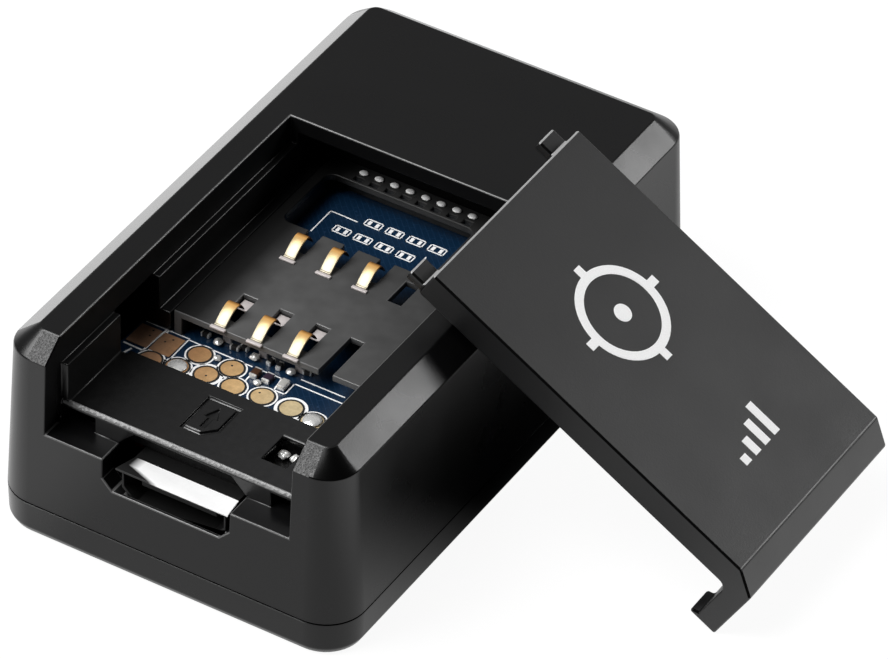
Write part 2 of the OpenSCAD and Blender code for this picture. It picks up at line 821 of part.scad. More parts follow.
module sim_contact_1() { sim_contact(0); }
module sim_contact_2() { sim_contact(1); }
module sim_contact_3() { sim_contact(2); }
module sim_contact_4() { sim_contact(3); }
module sim_contact_5() { sim_contact(4); }
module sim_contact_6() { sim_contact(5); }

module reader_contacts() {
    color([0.9, 0.9, 0.88])
    for (i = [0 : reader_count - 1])
        translate([-reader_left + (i - (reader_count - 1) / 2) * reader_pitch,
                   window_back + reader_l * 5 / 8, holder_z])
            linear_extrude(reader_h)
                round_rect(reader_w, reader_d, reader_d / 2.1);
}

module main_board() {
    color([0.06, 0.16, 0.32])
    block([-board_w / 2, board_front, board_under], [board_w / 2, board_back, board_z]);
}

// Places of the round pads: across in contact pitches, then behind the deck in pad radii
round_pad_shares = [[-2.67, 1.25], [-2, 1.7], [-1.79, 4], [-1.28, 2.15], [-0.89, 3.95],
                    [-0.52, 2.05], [0.24, 2.3], [1.03, 2.3], [1.69, 1.85]];

module test_pads() {
    square_pad = 2 * pad_r;
    color([0.85, 0.68, 0.42])
    translate([0, 0, board_z])
        linear_extrude(pad_t) {
            for (p = round_pad_shares)
                translate([p[0] * contact_pitch, deck_back + p[1] * pad_r]) circle(pad_r);
            for (i = [0, 1])
                translate([square_pad * (0.22 - 1.12 * i) - holder_left,
                           deck_back + square_pad * 1.8])
                    square([square_pad, square_pad * 1.25], center = true);
        }
}

// Places of the loose beads: across in contact pitches, in front of the holder in radii
bead_shares = [[-1.36, 2.4], [-0.1, 4.5]];

module solder_joints() {
    color([0.85, 0.85, 0.84])
    translate([0, 0, board_z]) {
        for (i = [0 : 2])
            translate([column_x(i) - joint_left, front_root + tail_in - foot_gap - joint_r, 0])
                cylinder(r1 = joint_r, r2 = joint_r / 2, h = joint_r);
        for (p = bead_shares)
            translate([p[0] * contact_pitch, holder_y - p[1] * bead_r, 0])
                cylinder(r1 = bead_r * 0.8, r2 = bead_r * 0.4, h = bead_r * 0.8);
        for (s = [-1, 1])
            translate([hole_x + s * hole_w / 4, gate_y + hole_back + hole_l / 4, 0])
                cylinder(r1 = bead_r * 1.25, r2 = bead_r / 2, h = bead_r * 1.25);
    }
}

// Places of the resistors, as the joints are given
chip_shares = [[-0.3, 1.4], [0.04, 1.4], [0.46, 1.4]];

module board_resistors() {
    color([0.2, 0.18, 0.17])
    for (p = chip_shares)
        translate([p[0] * contact_pitch, holder_y - p[1] * chip_w, board_z])
            block([-chip_w / 2, -chip_l / 2, 0], [chip_w / 2, chip_l / 2, chip_h]);
}

// Outline of the socket, wide towards the board, drawn in by a distance
module usb_outline(inset) {
    x = usb_w / 2 - inset;
    low = inset;
    high = usb_h - inset;
    polygon([[-x, high], [-x, low + usb_bevel], [-x + usb_bevel, low],
             [x - usb_bevel, low], [x, low + usb_bevel], [x, high]]);
}

module usb_shell() {
    color([0.8, 0.8, 0.8])
    translate([usb_x, usb_mouth + usb_l, usb_z])
        rotate([90, 0, 0]) {
            difference() {
                linear_extrude(usb_l) usb_outline(0);
                translate([0, 0, usb_t])
                    linear_extrude(usb_l) usb_outline(usb_t);
            }
            block([-usb_w / 2, usb_h - usb_t, usb_l],
                  [usb_w / 2, usb_h, usb_l + usb_lip]);
        }
}

module usb_tongue() {
    back = usb_mouth + usb_l - usb_t;
    high = usb_z + usb_h - usb_t;
    color([0.05, 0.05, 0.05])
    translate([usb_x, 0, 0]) {
        block([-tongue_w / 2, usb_mouth + tongue_in, high - tongue_gap - tongue_t],
              [tongue_w / 2, back, high - tongue_gap]);
        block([-tongue_w / 2, back - tongue_base, usb_z + usb_t],
              [tongue_w / 2, back, high]);
    }
}

module usb_contacts() {
    low = usb_z + usb_h - usb_t - tongue_gap - tongue_t;
    color([0.9, 0.75, 0.4])
    for (i = [0 : usb_pins - 1])
        translate([usb_x + (i - (usb_pins - 1) / 2) * usb_pitch, 0, 0])
            block([-usb_pin_w / 2, usb_mouth + tongue_in + usb_t, low - usb_pin_t],
                  [usb_pin_w / 2, usb_mouth + usb_l - usb_t - tongue_base, low]);
}

module battery_cell() {
    color([0.75, 0.76, 0.78])
    translate([0, cell_end, cell_z + cell_t / 2])
        rotate([90, 0, 0])
            linear_extrude(cell_end - cell_y)
                round_rect(cell_w, cell_t, cell_r);
}

module battery_board() {
    color([0.1, 0.3, 0.15])
    block([-guard_w / 2, cell_y - guard_t, cell_z + (cell_t - guard_h) / 2],
          [guard_w / 2, cell_y, cell_z + (cell_t + guard_h) / 2]);
}

// A lead that leaves the protection board forwards and turns up to the main board
module battery_lead(x) {
    start = cell_y - guard_t;
    mid_z = cell_z + cell_t / 2;
    run = lead_d;
    translate([x, start, mid_z]) {
        rotate([90, 0, 0]) cylinder(d = lead_d, h = run);
        translate([0, -run, lead_bend])
            rotate([180, 90, 0])
                rotate_extrude(angle = 90)
                    translate([lead_bend, 0]) circle(d = lead_d);
        translate([0, -run - lead_bend, lead_bend])
            cylinder(d = lead_d, h = board_under - mid_z - lead_bend);
    }
}

module battery_lead_red() {
    color([0.75, 0.1, 0.08]) battery_lead(-lead_red);
}

module battery_lead_black() {
    color([0.08, 0.08, 0.08]) battery_lead(-lead_red - lead_pitch);
}

module insulation_sheet() {
    color([0.85, 0.65, 0.2])
    block([cell_r - cell_w / 2, cell_y + cell_r, cell_z + cell_t],
          [cell_w / 2 - cell_r, cell_end - cell_r, cell_z + cell_t + sheet_t]);
}

module foam_pad() {
    color([0.25, 0.25, 0.27])
    translate([0, 0, foam_z])
        linear_extrude(foam_t)
            round_rect(cell_w - 2 * cell_r, foam_l, cell_r);
}

module magnet(s) {
    color([0.72, 0.73, 0.75])
    translate([0, s * magnet_y, 0])
        cylinder(r = magnet_r, h = magnet_t);
}

module magnet_front() { magnet(-1); }
module magnet_rear() { magnet(1); }

// The can is open towards the board and covers the chips
module radio_shield() {
    color([0.78, 0.79, 0.8])
    translate([0, shield_y, board_under - shield_h])
        difference() {
            linear_extrude(shield_h) round_rect(shield_w, shield_l, shield_t * 2);
            translate([0, 0, shield_t])
                linear_extrude(shield_h)
                    round_rect(shield_w - 2 * shield_t, shield_l - 2 * shield_t, shield_t);
        }
}

// A chip under the board, inside the shield can
module chip(x, y, w, l, h) {
    translate([x, shield_y + y, board_under - h])
        linear_extrude(h) square([w, l], center = true);
}

module processor_chip() {
    color([0.1, 0.1, 0.1])
    chip(cpu_w / 2 - shield_w / 2 + 3 * shield_t, 0, cpu_w, cpu_w, cpu_h);
}

module power_chip() {
    color([0.12, 0.12, 0.12])
    chip(shield_w / 2 - power_w / 2 - 3 * shield_t, -shield_l / 4, power_w, power_w, power_h);
}

module crystal_can() {
    color([0.8, 0.8, 0.78])
    chip(shield_w / 2 - crystal_l / 2 - 3 * shield_t, shield_l / 4,
         crystal_l, crystal_w, crystal_h);
}

module ceramic_antenna() {
    color([0.86, 0.84, 0.78])
    translate([patch_x, patch_y, board_z])
        linear_extrude(patch_h) square([patch_w, patch_l], center = true);
}

module antenna_electrode() {
    color([0.88, 0.88, 0.88])
    translate([patch_x, patch_y, board_z + patch_h]) {
        linear_extrude(silver_t)
            square([patch_w * silver_share, patch_l * silver_share], center = true);
        cylinder(r = silver_pin_r, h = 2 * silver_t);
    }
}

module flex_antenna() {
    color([0.75, 0.5, 0.25])
    translate([0, patch_y, ceiling_z - flex_t])
        linear_extrude(flex_t) square([flex_w, flex_l], center = true);
}

// A bent strip: a foot on the board, an upright, and a top that touches the antenna
module antenna_spring() {
    high = ceiling_z - flex_t - board_z;
    outline = [[0, 0], [spring_l, 0], [spring_l, spring_t], [spring_t, spring_t],
               [spring_t, high - spring_t], [spring_l, high - spring_t],
               [spring_l, high], [0, high]];
    color([0.9, 0.76, 0.4])
    translate([-spring_left - spring_w / 2, patch_y - spring_l, board_z])
        rotate([90, 0, 90])
            linear_extrude(spring_w)
                polygon(outline);
}

module microphone() {
    color([0.7, 0.7, 0.7])
    translate([-mic_left, board_back - mic_r - spring_t, board_under - mic_h])
        cylinder(r = mic_r, h = mic_h);
}

upper_case();
bottom_cover();
access_cover();
cover_print();
card_holder();
contact_feet();
sim_contact_1();
sim_contact_2();
sim_contact_3();
sim_contact_4();
sim_contact_5();
sim_contact_6();
reader_contacts();
main_board();
test_pads();
solder_joints();
board_resistors();
usb_shell();
usb_tongue();
usb_contacts();
battery_cell();
battery_board();
battery_lead_red();
battery_lead_black();
insulation_sheet();
foam_pad();
magnet_front();
magnet_rear();
radio_shield();
processor_chip();
power_chip();
crystal_can();
ceramic_antenna();
antenna_electrode();
flex_antenna();
antenna_spring();
microphone();
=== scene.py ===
# %% [markdown]
# # A pocket tracker with its card cover off
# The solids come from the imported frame, in metres. This file gives them their finish,
# softens the edges that a mould would round, and adds what is too small or too thin for
# the solids: the board's printed lines, solder and the ends of the small parts.

# %% Load the frame
import json
import math
import bpy
from mathutils import Matrix, Vector


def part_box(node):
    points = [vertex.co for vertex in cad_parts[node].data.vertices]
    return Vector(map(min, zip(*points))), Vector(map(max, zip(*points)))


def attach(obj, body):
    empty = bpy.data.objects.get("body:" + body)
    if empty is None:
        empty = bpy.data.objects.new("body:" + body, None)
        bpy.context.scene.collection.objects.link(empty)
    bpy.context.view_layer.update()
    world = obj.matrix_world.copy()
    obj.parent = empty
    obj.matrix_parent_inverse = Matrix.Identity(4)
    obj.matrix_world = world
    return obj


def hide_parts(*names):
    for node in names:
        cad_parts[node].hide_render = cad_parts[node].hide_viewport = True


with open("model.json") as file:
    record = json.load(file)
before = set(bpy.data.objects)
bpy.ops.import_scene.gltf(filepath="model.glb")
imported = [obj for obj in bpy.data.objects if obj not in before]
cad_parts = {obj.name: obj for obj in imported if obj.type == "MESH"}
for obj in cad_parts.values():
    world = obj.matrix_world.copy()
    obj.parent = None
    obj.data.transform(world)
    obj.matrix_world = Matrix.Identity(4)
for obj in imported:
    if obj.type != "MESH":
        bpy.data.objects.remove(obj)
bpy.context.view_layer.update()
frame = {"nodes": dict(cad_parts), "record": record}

mm = 0.001

# %% [markdown]
# ## Camera
# The photograph was taken with a long lens from the front right, well above the case.
# The direction is given as a turn about the upright and a rise above the table, with a
# small roll. A matrix built from the three camera axes holds all of it at once.

# %% Camera
camera_turn = math.radians(30.454)
camera_rise = math.radians(39.53)
camera_roll = math.radians(1.632)
camera_distance = 434.448 * mm
camera_side = 5.561 * mm
camera_up = 4.57 * mm
picture_width_px = 888
lens_px = 7179.429
sensor_mm = 36


def camera_axes():
    back = Vector((math.sin(camera_turn) * math.cos(camera_rise),
                   -math.cos(camera_turn) * math.cos(camera_rise), math.sin(camera_rise)))
    right = Vector((0, 0, 1)).cross(back).normalized()
    up = back.cross(right)
    turned_right = right * math.cos(camera_roll) + up * math.sin(camera_roll)
    turned_up = up * math.cos(camera_roll) - right * math.sin(camera_roll)
    return right, up, turned_right, turned_up, back


right, up, turned_right, turned_up, back = camera_axes()
camera_data = bpy.data.cameras.new("photo_camera")
camera_data.sensor_width = sensor_mm
camera_data.lens = lens_px / picture_width_px * sensor_mm
camera_data.clip_start = 10 * mm
camera = bpy.data.objects.new("photo_camera", camera_data)
bpy.context.scene.collection.objects.link(camera)
spot = back * camera_distance + right * camera_side + up * camera_up
camera.matrix_world = Matrix.Translation(spot) @ Matrix((
    (turned_right.x, turned_up.x, back.x, 0),
    (turned_right.y, turned_up.y, back.y, 0),
    (turned_right.z, turned_up.z, back.z, 0),
    (0, 0, 0, 1)))
bpy.context.scene.camera = camera
bpy.context.scene.view_settings.view_transform = "Standard"
print("camera at", [round(v / mm, 1) for v in spot], "mm, lens", round(camera_data.lens))

# %% [markdown]
# ## Small helpers
# A look is a tree of nodes. A node is added together with what goes into it: each input
# takes a fixed value, or a link when it is given another node's output. The kinds of node
# that come back most get a function that hands on their result, so that a tree reads like
# a sum.

# %% Helpers for node trees
def put(tree, kind, settings=None, *places, **names):
    """Adds a node. Its inputs, by place or by name, take a value or another's output."""
    node = tree.nodes.new(kind)
    for key, value in (settings or {}).items():
        setattr(node, key, value)
    by_name = [(key.replace("_", " "), value) for key, value in names.items()]
    for key, value in [*enumerate(places), *by_name]:
        if isinstance(value, bpy.types.NodeSocket):
            tree.links.new(value, node.inputs[key])
        else:
            node.inputs[key].default_value = value
    return node


def calc(tree, operation, *values):
    """The result of a sum."""
    return put(tree, "ShaderNodeMath", {"operation": operation}, *values).outputs[0]


def vector_calc(tree, operation, *values, **names):
    """The result of a sum with vectors or colours."""
    settings = {"operation": operation}
    return put(tree, "ShaderNodeVectorMath", settings, *values, **names).outputs[0]


def ranged(tree, value, start, end, low=0.0, high=1.0, **settings):
    """A value that goes from low to high while the given one goes from start to end."""
    return put(tree, "ShaderNodeMapRange", settings, Value=value, From_Min=start, From_Max=end,
               To_Min=low, To_Max=high).outputs[0]


def object_axes(tree):
    """The object coordinates as three values, to be had by the names X, Y and Z."""
    coords = put(tree, "ShaderNodeTexCoord")
    return put(tree, "ShaderNodeSeparateXYZ", None, coords.outputs["Object"]).outputs


# %% [markdown]
# Colours are given as three linear values, or as one value for a grey. A colour ramp
# turns a value from 0 to 1 into a colour. A new material starts from a Principled shader.

# %% Helpers for colours and materials
def rgba(colour):
    """A colour, or a grey given as one value, with full opacity."""
    return (*colour, 1) if isinstance(colour, tuple) else (colour, colour, colour, 1)


def ramp(tree, value, stops):
    """The colour of a ramp at a value. A stop is a place from 0 to 1 and its colour."""
    node = put(tree, "ShaderNodeValToRGB", None, value)
    elements = node.color_ramp.elements
    elements.remove(elements[1])
    for i, (place, colour) in enumerate(stops):
        stop = elements[0] if i == 0 else elements.new(place)
        stop.position = place
        stop.color = rgba(colour)
    return node.outputs[0]


def new_material(name):
    material = bpy.data.materials.new(name)
    material.use_nodes = True
    return material, material.node_tree, material.node_tree.nodes["Principled BSDF"]


# %% [markdown]
# Blender's mesh tools work on what is selected and active, and some only in edit mode, so
# each piece is picked first.

# %% Helpers for objects
def leave_edit():
    bpy.ops.object.mode_set(mode="OBJECT")


def deselect():
    bpy.ops.object.select_all(action="DESELECT")


def pick(item):
    """Selects one object only and makes it the active one."""
    deselect()
    item.select_set(True)
    bpy.context.view_layer.objects.active = item


def edit_all(item):
    """Opens one object in edit mode with all of it selected."""
    pick(item)
    bpy.ops.object.mode_set(mode="EDIT")
    bpy.ops.mesh.select_all(action="SELECT")


def join(objects, name):
    """Joins objects into one, with its origin at the frame's origin."""
    deselect()
    for item in objects:
        item.select_set(True)
    bpy.context.view_layer.objects.active = objects[0]
    if len(objects) > 1:
        bpy.ops.object.join()
    bpy.ops.object.transform_apply(location=True, rotation=True, scale=True)
    whole = bpy.context.object
    whole.name = name
    return whole


# %% [markdown]
# A CAD node can hold several solids that don't touch, such as all the test pads. They are
# told apart by following the edges from point to point.

# %% Solids in a node
def separate_solids(node):
    """The (low, high) corners of each separate solid in a CAD node, left to right."""
    item = frame["nodes"][node]
    points = [item.matrix_world @ v.co for v in item.data.vertices]
    spot_of = [tuple(round(c / mm, 3) for c in p) for p in points]
    group = {spot: spot for spot in spot_of}

    def root(spot):
        while group[spot] != spot:
            spot = group[spot]
        return spot

    for edge in item.data.edges:
        a, b = (root(spot_of[i]) for i in edge.vertices)
        group[a] = b
    found = {}
    for spot in group:
        found.setdefault(root(spot), []).append(spot)
    boxes = [(Vector(min(c) for c in zip(*spots)) * mm, Vector(max(c) for c in zip(*spots)) * mm)
             for spots in found.values()]
    return sorted(boxes, key=lambda box: (box[0].x, box[0].y))


# %% [markdown]
# ## Table and light
# A product like this is photographed on a white sheet under large soft lamps. The floor
# is a wide plane of plain paper. It lies a hair's breadth under the object, because two
# faces on one level would show through each other in stripes.

# %% Floor
floor_drop = 0.02 * mm
deselect()
bpy.ops.mesh.primitive_plane_add(size=3, location=(0, 0, -floor_drop))
floor = bpy.context.object
floor.name = "floor"
floor_material, tree, shader = new_material("white_sheet")
shader.inputs["Base Color"].default_value = rgba(0.5)
shader.inputs["Roughness"].default_value = 0.9
shader.inputs["Specular IOR Level"].default_value = 0.1
floor.data.materials.append(floor_material)

# %% [markdown]
# A black object is shaped by what it mirrors, and its sides mirror the floor. So the floor has a
# painted glow that changes from left to right: full on the lamp's side, three fifths beside and
# under the object, and full again beyond the cover. Under the cover, where no lamp reaches, a
# window with soft borders has no glow: a painted shadow.

# %% How bright each part of the floor is
axes = object_axes(tree)
side_share = 0.6


def window(axis, rise, fall):
    """1 between two soft borders across the floor, 0 outside; borders in millimetres."""
    rising, falling = (
        ranged(tree, axes[axis], start * mm, end * mm, low, 1.0 - low,
               interpolation_type="SMOOTHSTEP")
        for (start, end), low in ((rise, 0.0), (fall, 1.0)))
    return calc(tree, "MULTIPLY", rising, falling)


# A painted shadow under the cover, times a painted light that falls off along X.
painted_cover_shadow = calc(tree, "MULTIPLY", window("X", (7, 13), (21, 28)),
                   window("Y", (-18, -3), (11, 22)))
place = ranged(tree, axes["X"], -50 * mm, 50 * mm)
falloff = ramp(tree, place, [(0.0, 1.0), (0.375, 1.0), (0.425, side_share), (0.7, side_share),
                             (0.8, 1.0)])
painted_floor_light = calc(tree, "MULTIPLY", falloff, calc(tree, "SUBTRACT", 1.0, painted_cover_shadow))

# %% [markdown]
# The Light Path node tells which ray is asking. The camera sees four parts of white glow
# to one part of lit paper, which keeps a faint shadow. A mirrored ray sees only the glow
# by place. All other light meets plain paper. Seen from below, the sheet is clear, so
# that the underside of the object can be looked at.

# %% What each kind of ray sees
camera_share = 0.8
glow_strength = 1.17
path = put(tree, "ShaderNodeLightPath").outputs
seen = calc(tree, "MULTIPLY", path["Is Camera Ray"], camera_share)
share = calc(tree, "ADD", seen, path["Is Glossy Ray"])
mirrored = calc(tree, "MULTIPLY", path["Is Glossy Ray"], painted_floor_light)
level = calc(tree, "ADD", path["Is Camera Ray"], mirrored)
strength = calc(tree, "MULTIPLY", level, glow_strength)
glow = put(tree, "ShaderNodeEmission", Color=rgba(1.0), Strength=strength).outputs[0]
blend = put(tree, "ShaderNodeMixShader", None, share, shader.outputs[0], glow).outputs[0]
clear = put(tree, "ShaderNodeBsdfTransparent").outputs[0]
side = put(tree, "ShaderNodeNewGeometry").outputs["Backfacing"]
sheet = put(tree, "ShaderNodeMixShader", None, side, blend, clear)
tree.links.new(sheet.outputs[0], tree.nodes["Material Output"].inputs["Surface"])

# %% [markdown]
# A black object shows little of its own colour: what the eye sees is mostly reflection.
# So walls and lamps are placed by what each face mirrors. The top face mirrors a dim pale
# wall over the back left, and the rest of the studio is darker. To the camera itself all
# of it is white, like the floor.

# %% Studio
world = bpy.data.worlds.new("studio")
bpy.context.scene.world = world
world.use_nodes = True
tree = world.node_tree
background = tree.nodes["Background"]
background.inputs["Color"].default_value = rgba(1.0)
coords = put(tree, "ShaderNodeTexCoord")
to_wall = put(tree, "ShaderNodeVectorMath", {"operation": "DOT_PRODUCT"},
              coords.outputs["Generated"], (-0.39, 0.665, 0.64))
wall = ranged(tree, to_wall.outputs["Value"], 0.2, 0.9, 0.045, 0.27,
              interpolation_type="SMOOTHSTEP")
path = put(tree, "ShaderNodeLightPath").outputs
tree.links.new(calc(tree, "MAXIMUM", wall, path["Is Camera Ray"]), background.inputs["Strength"])

# %% [markdown]
# The long lamp over the left front is what the front bevels and the contacts mirror
# towards the camera. The one low at the back right is what the bevel along the right side
# mirrors. Power is in watts and lengths are in metres.

# %% Lamps
def softbox(name, direction, distance, width, height, power):
    """A rectangular lamp at a distance in a direction, turned to face the object."""
    data = bpy.data.lights.new(name, "AREA")
    data.shape = "RECTANGLE"
    data.size = width
    data.size_y = height
    data.energy = power
    lamp = bpy.data.objects.new(name, data)
    bpy.context.scene.collection.objects.link(lamp)
    aim = Vector(direction).normalized()
    lamp.location = aim * distance
    lamp.rotation_euler = aim.to_track_quat("Z", "Y").to_euler()


softbox("lamp_over_left_front", (-0.42, -0.42, 0.82), 0.7, 0.4, 0.6, 6.6)
softbox("lamp_back_right", (0.58, 0.66, 0.48), 0.7, 0.24, 0.18, 1.25)

# %% [markdown]
# ## Finishes
# Each kind of surface has a node group: moulded plastic, rolled metal, plated springs, the holder
# plate with its painted shade, creased foil, foam, speckled ceramic and solder, three that change
# along X, and the circuit board. They all work on object coordinates, so that the detail has a real
# size and stays in place when a piece moves. Each group takes a colour, a size, a depth and a
# roughness, and gives a colour, a roughness and a normal. The shader stays in the material.

# %% What the groups have in common
def start_group(name):
    """A node group with the inputs and outputs that all the finishes have."""
    group = bpy.data.node_groups.new(name, "ShaderNodeTree")
    takes = {"Colour": "Color", "Size": "Float", "Depth": "Float", "Roughness": "Float"}
    gives = {"Colour": "Color", "Roughness": "Float", "Normal": "Vector"}
    for way, sockets in (("INPUT", takes), ("OUTPUT", gives)):
        for title, kind in sockets.items():
            group.interface.new_socket(title, in_out=way, socket_type="NodeSocket" + kind)
    return group, put(group, "NodeGroupInput").outputs, put(group, "NodeGroupOutput").inputs


def object_points(group, given, stretch=(1, 1, 1)):
    """Object coordinates times the group's Size, stretched by the given factors."""
    coords = put(group, "ShaderNodeTexCoord")
    pulled = vector_calc(group, "MULTIPLY", coords.outputs["Object"], stretch)
    return vector_calc(group, "SCALE", pulled, Scale=given["Size"])


def noise(group, points, scale, detail, roughness=0.5):
    """Soft noise from 0 to 1."""
    return put(group, "ShaderNodeTexNoise", Vector=points, Scale=scale, Detail=detail,
               Roughness=roughness).outputs[0]


def cells(group, points, scale, feature="F1"):
    """The distance to the middle of the nearest cell, or to its edge."""
    return put(group, "ShaderNodeTexVoronoi", {"feature": feature}, Vector=points,
               Scale=scale).outputs["Distance"]


# %% [markdown]
# A value from 0 to 1 can lighten and darken the colour, add to the roughness, or raise a
# bump. Each of the three functions ends at one output of the group.

# %% What a value does to a finish
def shaded(group, given, value, low, high, result):
    """The given colour made lighter and darker by a value from 0 to 1."""
    tint = ranged(group, value, 0.0, 1.0, low, high)
    group.links.new(vector_calc(group, "SCALE", given["Colour"], Scale=tint), result["Colour"])


def roughened(group, given, value, low, high, result):
    """The given roughness plus a little that follows a value from 0 to 1."""
    extra = ranged(group, value, 0.0, 1.0, low, high)
    group.links.new(calc(group, "ADD", extra, given["Roughness"]), result["Roughness"])


def bumped(group, given, value, result, strength=0.5):
    """A bump whose height follows a value, over the group's Depth."""
    bump = put(group, "ShaderNodeBump", Strength=strength, Height=value, Distance=given["Depth"])
    group.links.new(bump.outputs[0], result["Normal"])


# %% [markdown]
# A moulded face is never mirror smooth: the mould is spark eroded, which leaves a fine
# even grain. Handling then polishes it here and there, which the broad noise does.

# %% Moulded plastic
grain, given, result = start_group("moulded_grain")
points = object_points(grain, given)
fine = noise(grain, points, 1.0, 3.0, 0.6)
broad = noise(grain, points, 0.03, 3.0)
shaded(grain, given, fine, 0.8, 1.2, result)
roughened(grain, given, broad, -0.08, 0.08, result)
bumped(grain, given, fine, result)

# %% [markdown]
# Rolled and plated metal has long faint streaks in the direction that it was rolled in,
# which is along Y for the contacts and the shells here. Coordinates that are pulled along
# Y give them.

# %% Rolled metal
long_in_y = (1, 0.07, 1)
rolled, given, result = start_group("rolled_metal")
streaks = noise(rolled, object_points(rolled, given, long_in_y), 1.0, 4.0, 0.65)
stains = noise(rolled, object_points(rolled, given), 0.2, 4.0, 0.6)
shaded(rolled, given, stains, 0.8, 1.2, result)
roughened(rolled, given, streaks, -0.12, 0.12, result)
bumped(rolled, given, streaks, result, 0.4)

# %% [markdown]
# The spring contacts are plated thinly. Their colour is pale near the foot and deep gold over the
# crest, partly the gold's own colour and partly a painted highlight and painted shade, and the tip
# is painted near black as shade. Both rows share one material, so the place along a contact is
# found from Y with the distance between the rows taken off as often as it goes.

# %% Plated springs
row_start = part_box("sim_contact_1")[0][1] - 0.01 * mm
row_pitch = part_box("sim_contact_4")[0][1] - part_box("sim_contact_1")[0][1]
plated, given, result = start_group("plated_spring")
rows = ranged(plated, object_axes(plated)["Y"], row_start, row_start + row_pitch, clamp=False)
gold_and_painted_light = ramp(plated, calc(plated, "FRACT", rows), [
    (0.0, (0.42, 0.38, 0.29)), (0.09, (0.46, 0.4, 0.27)), (0.14, (0.62, 0.46, 0.22)),
    (0.18, (1.0, 0.55, 0.17)), (0.215, (0.5, 0.22, 0.05)), (0.24, (0.06, 0.025, 0.01))])
plated.links.new(vector_calc(plated, "MULTIPLY", gold_and_painted_light, given["Colour"]), result["Colour"])
streaks = noise(plated, object_points(plated, given, long_in_y), 1.0, 3.0)
roughened(plated, given, streaks, -0.06, 0.06, result)
bumped(plated, given, streaks, result, 0.3)

# %% [markdown]
# The card holder is a matte glass-filled plastic. Its colour carries painted shade: pale at the
# right and front and dark in the back left corner, where the well's walls shade it, and cloudy by a
# broad noise. So the painted shade is a ramp along X times a fall along Y, times a broad noise.

# %% Rubbed holder plate
plate_painted_shade, given, result = start_group("plate_shade_ramp")
points, axes = object_points(plate_painted_shade, given), object_axes(plate_painted_shade)
fine = noise(plate_painted_shade, points, 1.0, 3.0, 0.6)
broad = noise(plate_painted_shade, points, 0.045, 2.0)
across = ranged(plate_painted_shade, axes["X"], -7 * mm, 7 * mm)
shade_across_x = ramp(plate_painted_shade, across, [(0.04, 0.02), (0.1, 0.07), (0.26, 1.0), (0.5, 0.95), (0.93, 0.7)])
shade_along_y = ranged(plate_painted_shade, axes["Y"], -9 * mm, 9 * mm, 1.0, 0.3)
cloudy = ranged(plate_painted_shade, broad, 0.3, 0.7, 0.8, 1.15)
# Painted shade: the ramp and the fall darken the back left corner.
plate_shade_amount = calc(plate_painted_shade, "MULTIPLY", calc(plate_painted_shade, "MULTIPLY", shade_across_x, shade_along_y), cloudy)
shaded(plate_painted_shade, given, plate_shade_amount, 0.02, 1.0, result)
roughened(plate_painted_shade, given, plate_shade_amount, -0.06, 0.1, result)
bumped(plate_painted_shade, given, fine, result)

# %% [markdown]
# Creased foil and film have flat facets that meet in soft ridges. The distance to the
# edge of Voronoi cells, warped by noise, gives them.

# %% Creased foil
foil, given, result = start_group("creased_foil")
points = object_points(foil, given)
warp = put(foil, "ShaderNodeTexNoise", Vector=points, Scale=0.7, Detail=2.0)
moved = vector_calc(foil, "ADD", points, warp.outputs["Color"])
creases = cells(foil, moved, 0.6, "DISTANCE_TO_EDGE")
shaded(foil, given, creases, 0.85, 1.15, result)
roughened(foil, given, warp.outputs[0], -0.1, 0.15, result)
bumped(foil, given, creases, result)

# %% [markdown]
# Foam is a pack of bubbles cut open. Voronoi cells are dark and deep in their middles,
# and their walls stand up pale. The same group roughens the patches on the case.

# %% Foam
foam, given, result = start_group("open_foam")
bubbles = cells(foam, object_points(foam, given), 1.0)
shaded(foam, given, bubbles, 0.5, 1.4, result)
roughened(foam, given, bubbles, -0.05, 0.05, result)
bumped(foam, given, bubbles, result, 0.8)

# %% [markdown]
# Fired ceramic, solder and rubbed edges are speckled: clouds of noise lighten and darken
# them, and tiny grains give them their bumps.

# %% Speckled surfaces
speckled, given, result = start_group("speckled")
points = object_points(speckled, given)
grains = cells(speckled, points, 1.0)
clouds = noise(speckled, points, 0.25, 5.0, 0.7)
shaded(speckled, given, clouds, 0.6, 1.4, result)
roughened(speckled, given, clouds, -0.1, 0.1, result)
bumped(speckled, given, grains, result, 0.4)

# %% [markdown]
# The test pads are darker and browner at the left and pale gold at the right: painted shade from
# the well's left wall. The socket's lip is white with a painted highlight and black at its left end
# with painted shade. The deck is painted darker at the left and paler towards the right, painted
# light and shade. All three are a ramp along X, so one function makes the groups. At the lip the
# ramp's lines also turn with Y in front of the socket's mouth, which the slant does.

# %% Finishes that change along X
mouth_y = -19.6 * mm


def along_x(name, low, high, stops, cloud_low, cloud_high, slant=0.0):
    """A group whose colour follows a ramp between two X values, with soft clouds."""
    group, given, result = start_group(name)
    points, axes = object_points(group, given), object_axes(group)
    clouds = noise(group, points, 0.25, 5.0, 0.7)
    pits = cells(group, points, 1.0)
    tilted = calc(group, "MULTIPLY_ADD", axes["Y"], slant, -mouth_y * slant)
    slanted_x = calc(group, "ADD", calc(group, "MINIMUM", tilted, 0.0), axes["X"])
    colour = ramp(group, ranged(group, slanted_x, low, high), stops)
    hue = vector_calc(group, "MULTIPLY", colour, given["Colour"])
    cloud = ranged(group, clouds, 0.3, 0.7, cloud_low, cloud_high)
    group.links.new(vector_calc(group, "SCALE", hue, Scale=cloud), result["Colour"])
    roughened(group, given, clouds, -0.1, 0.1, result)
    bumped(group, given, pits, result, 0.4)
    return group


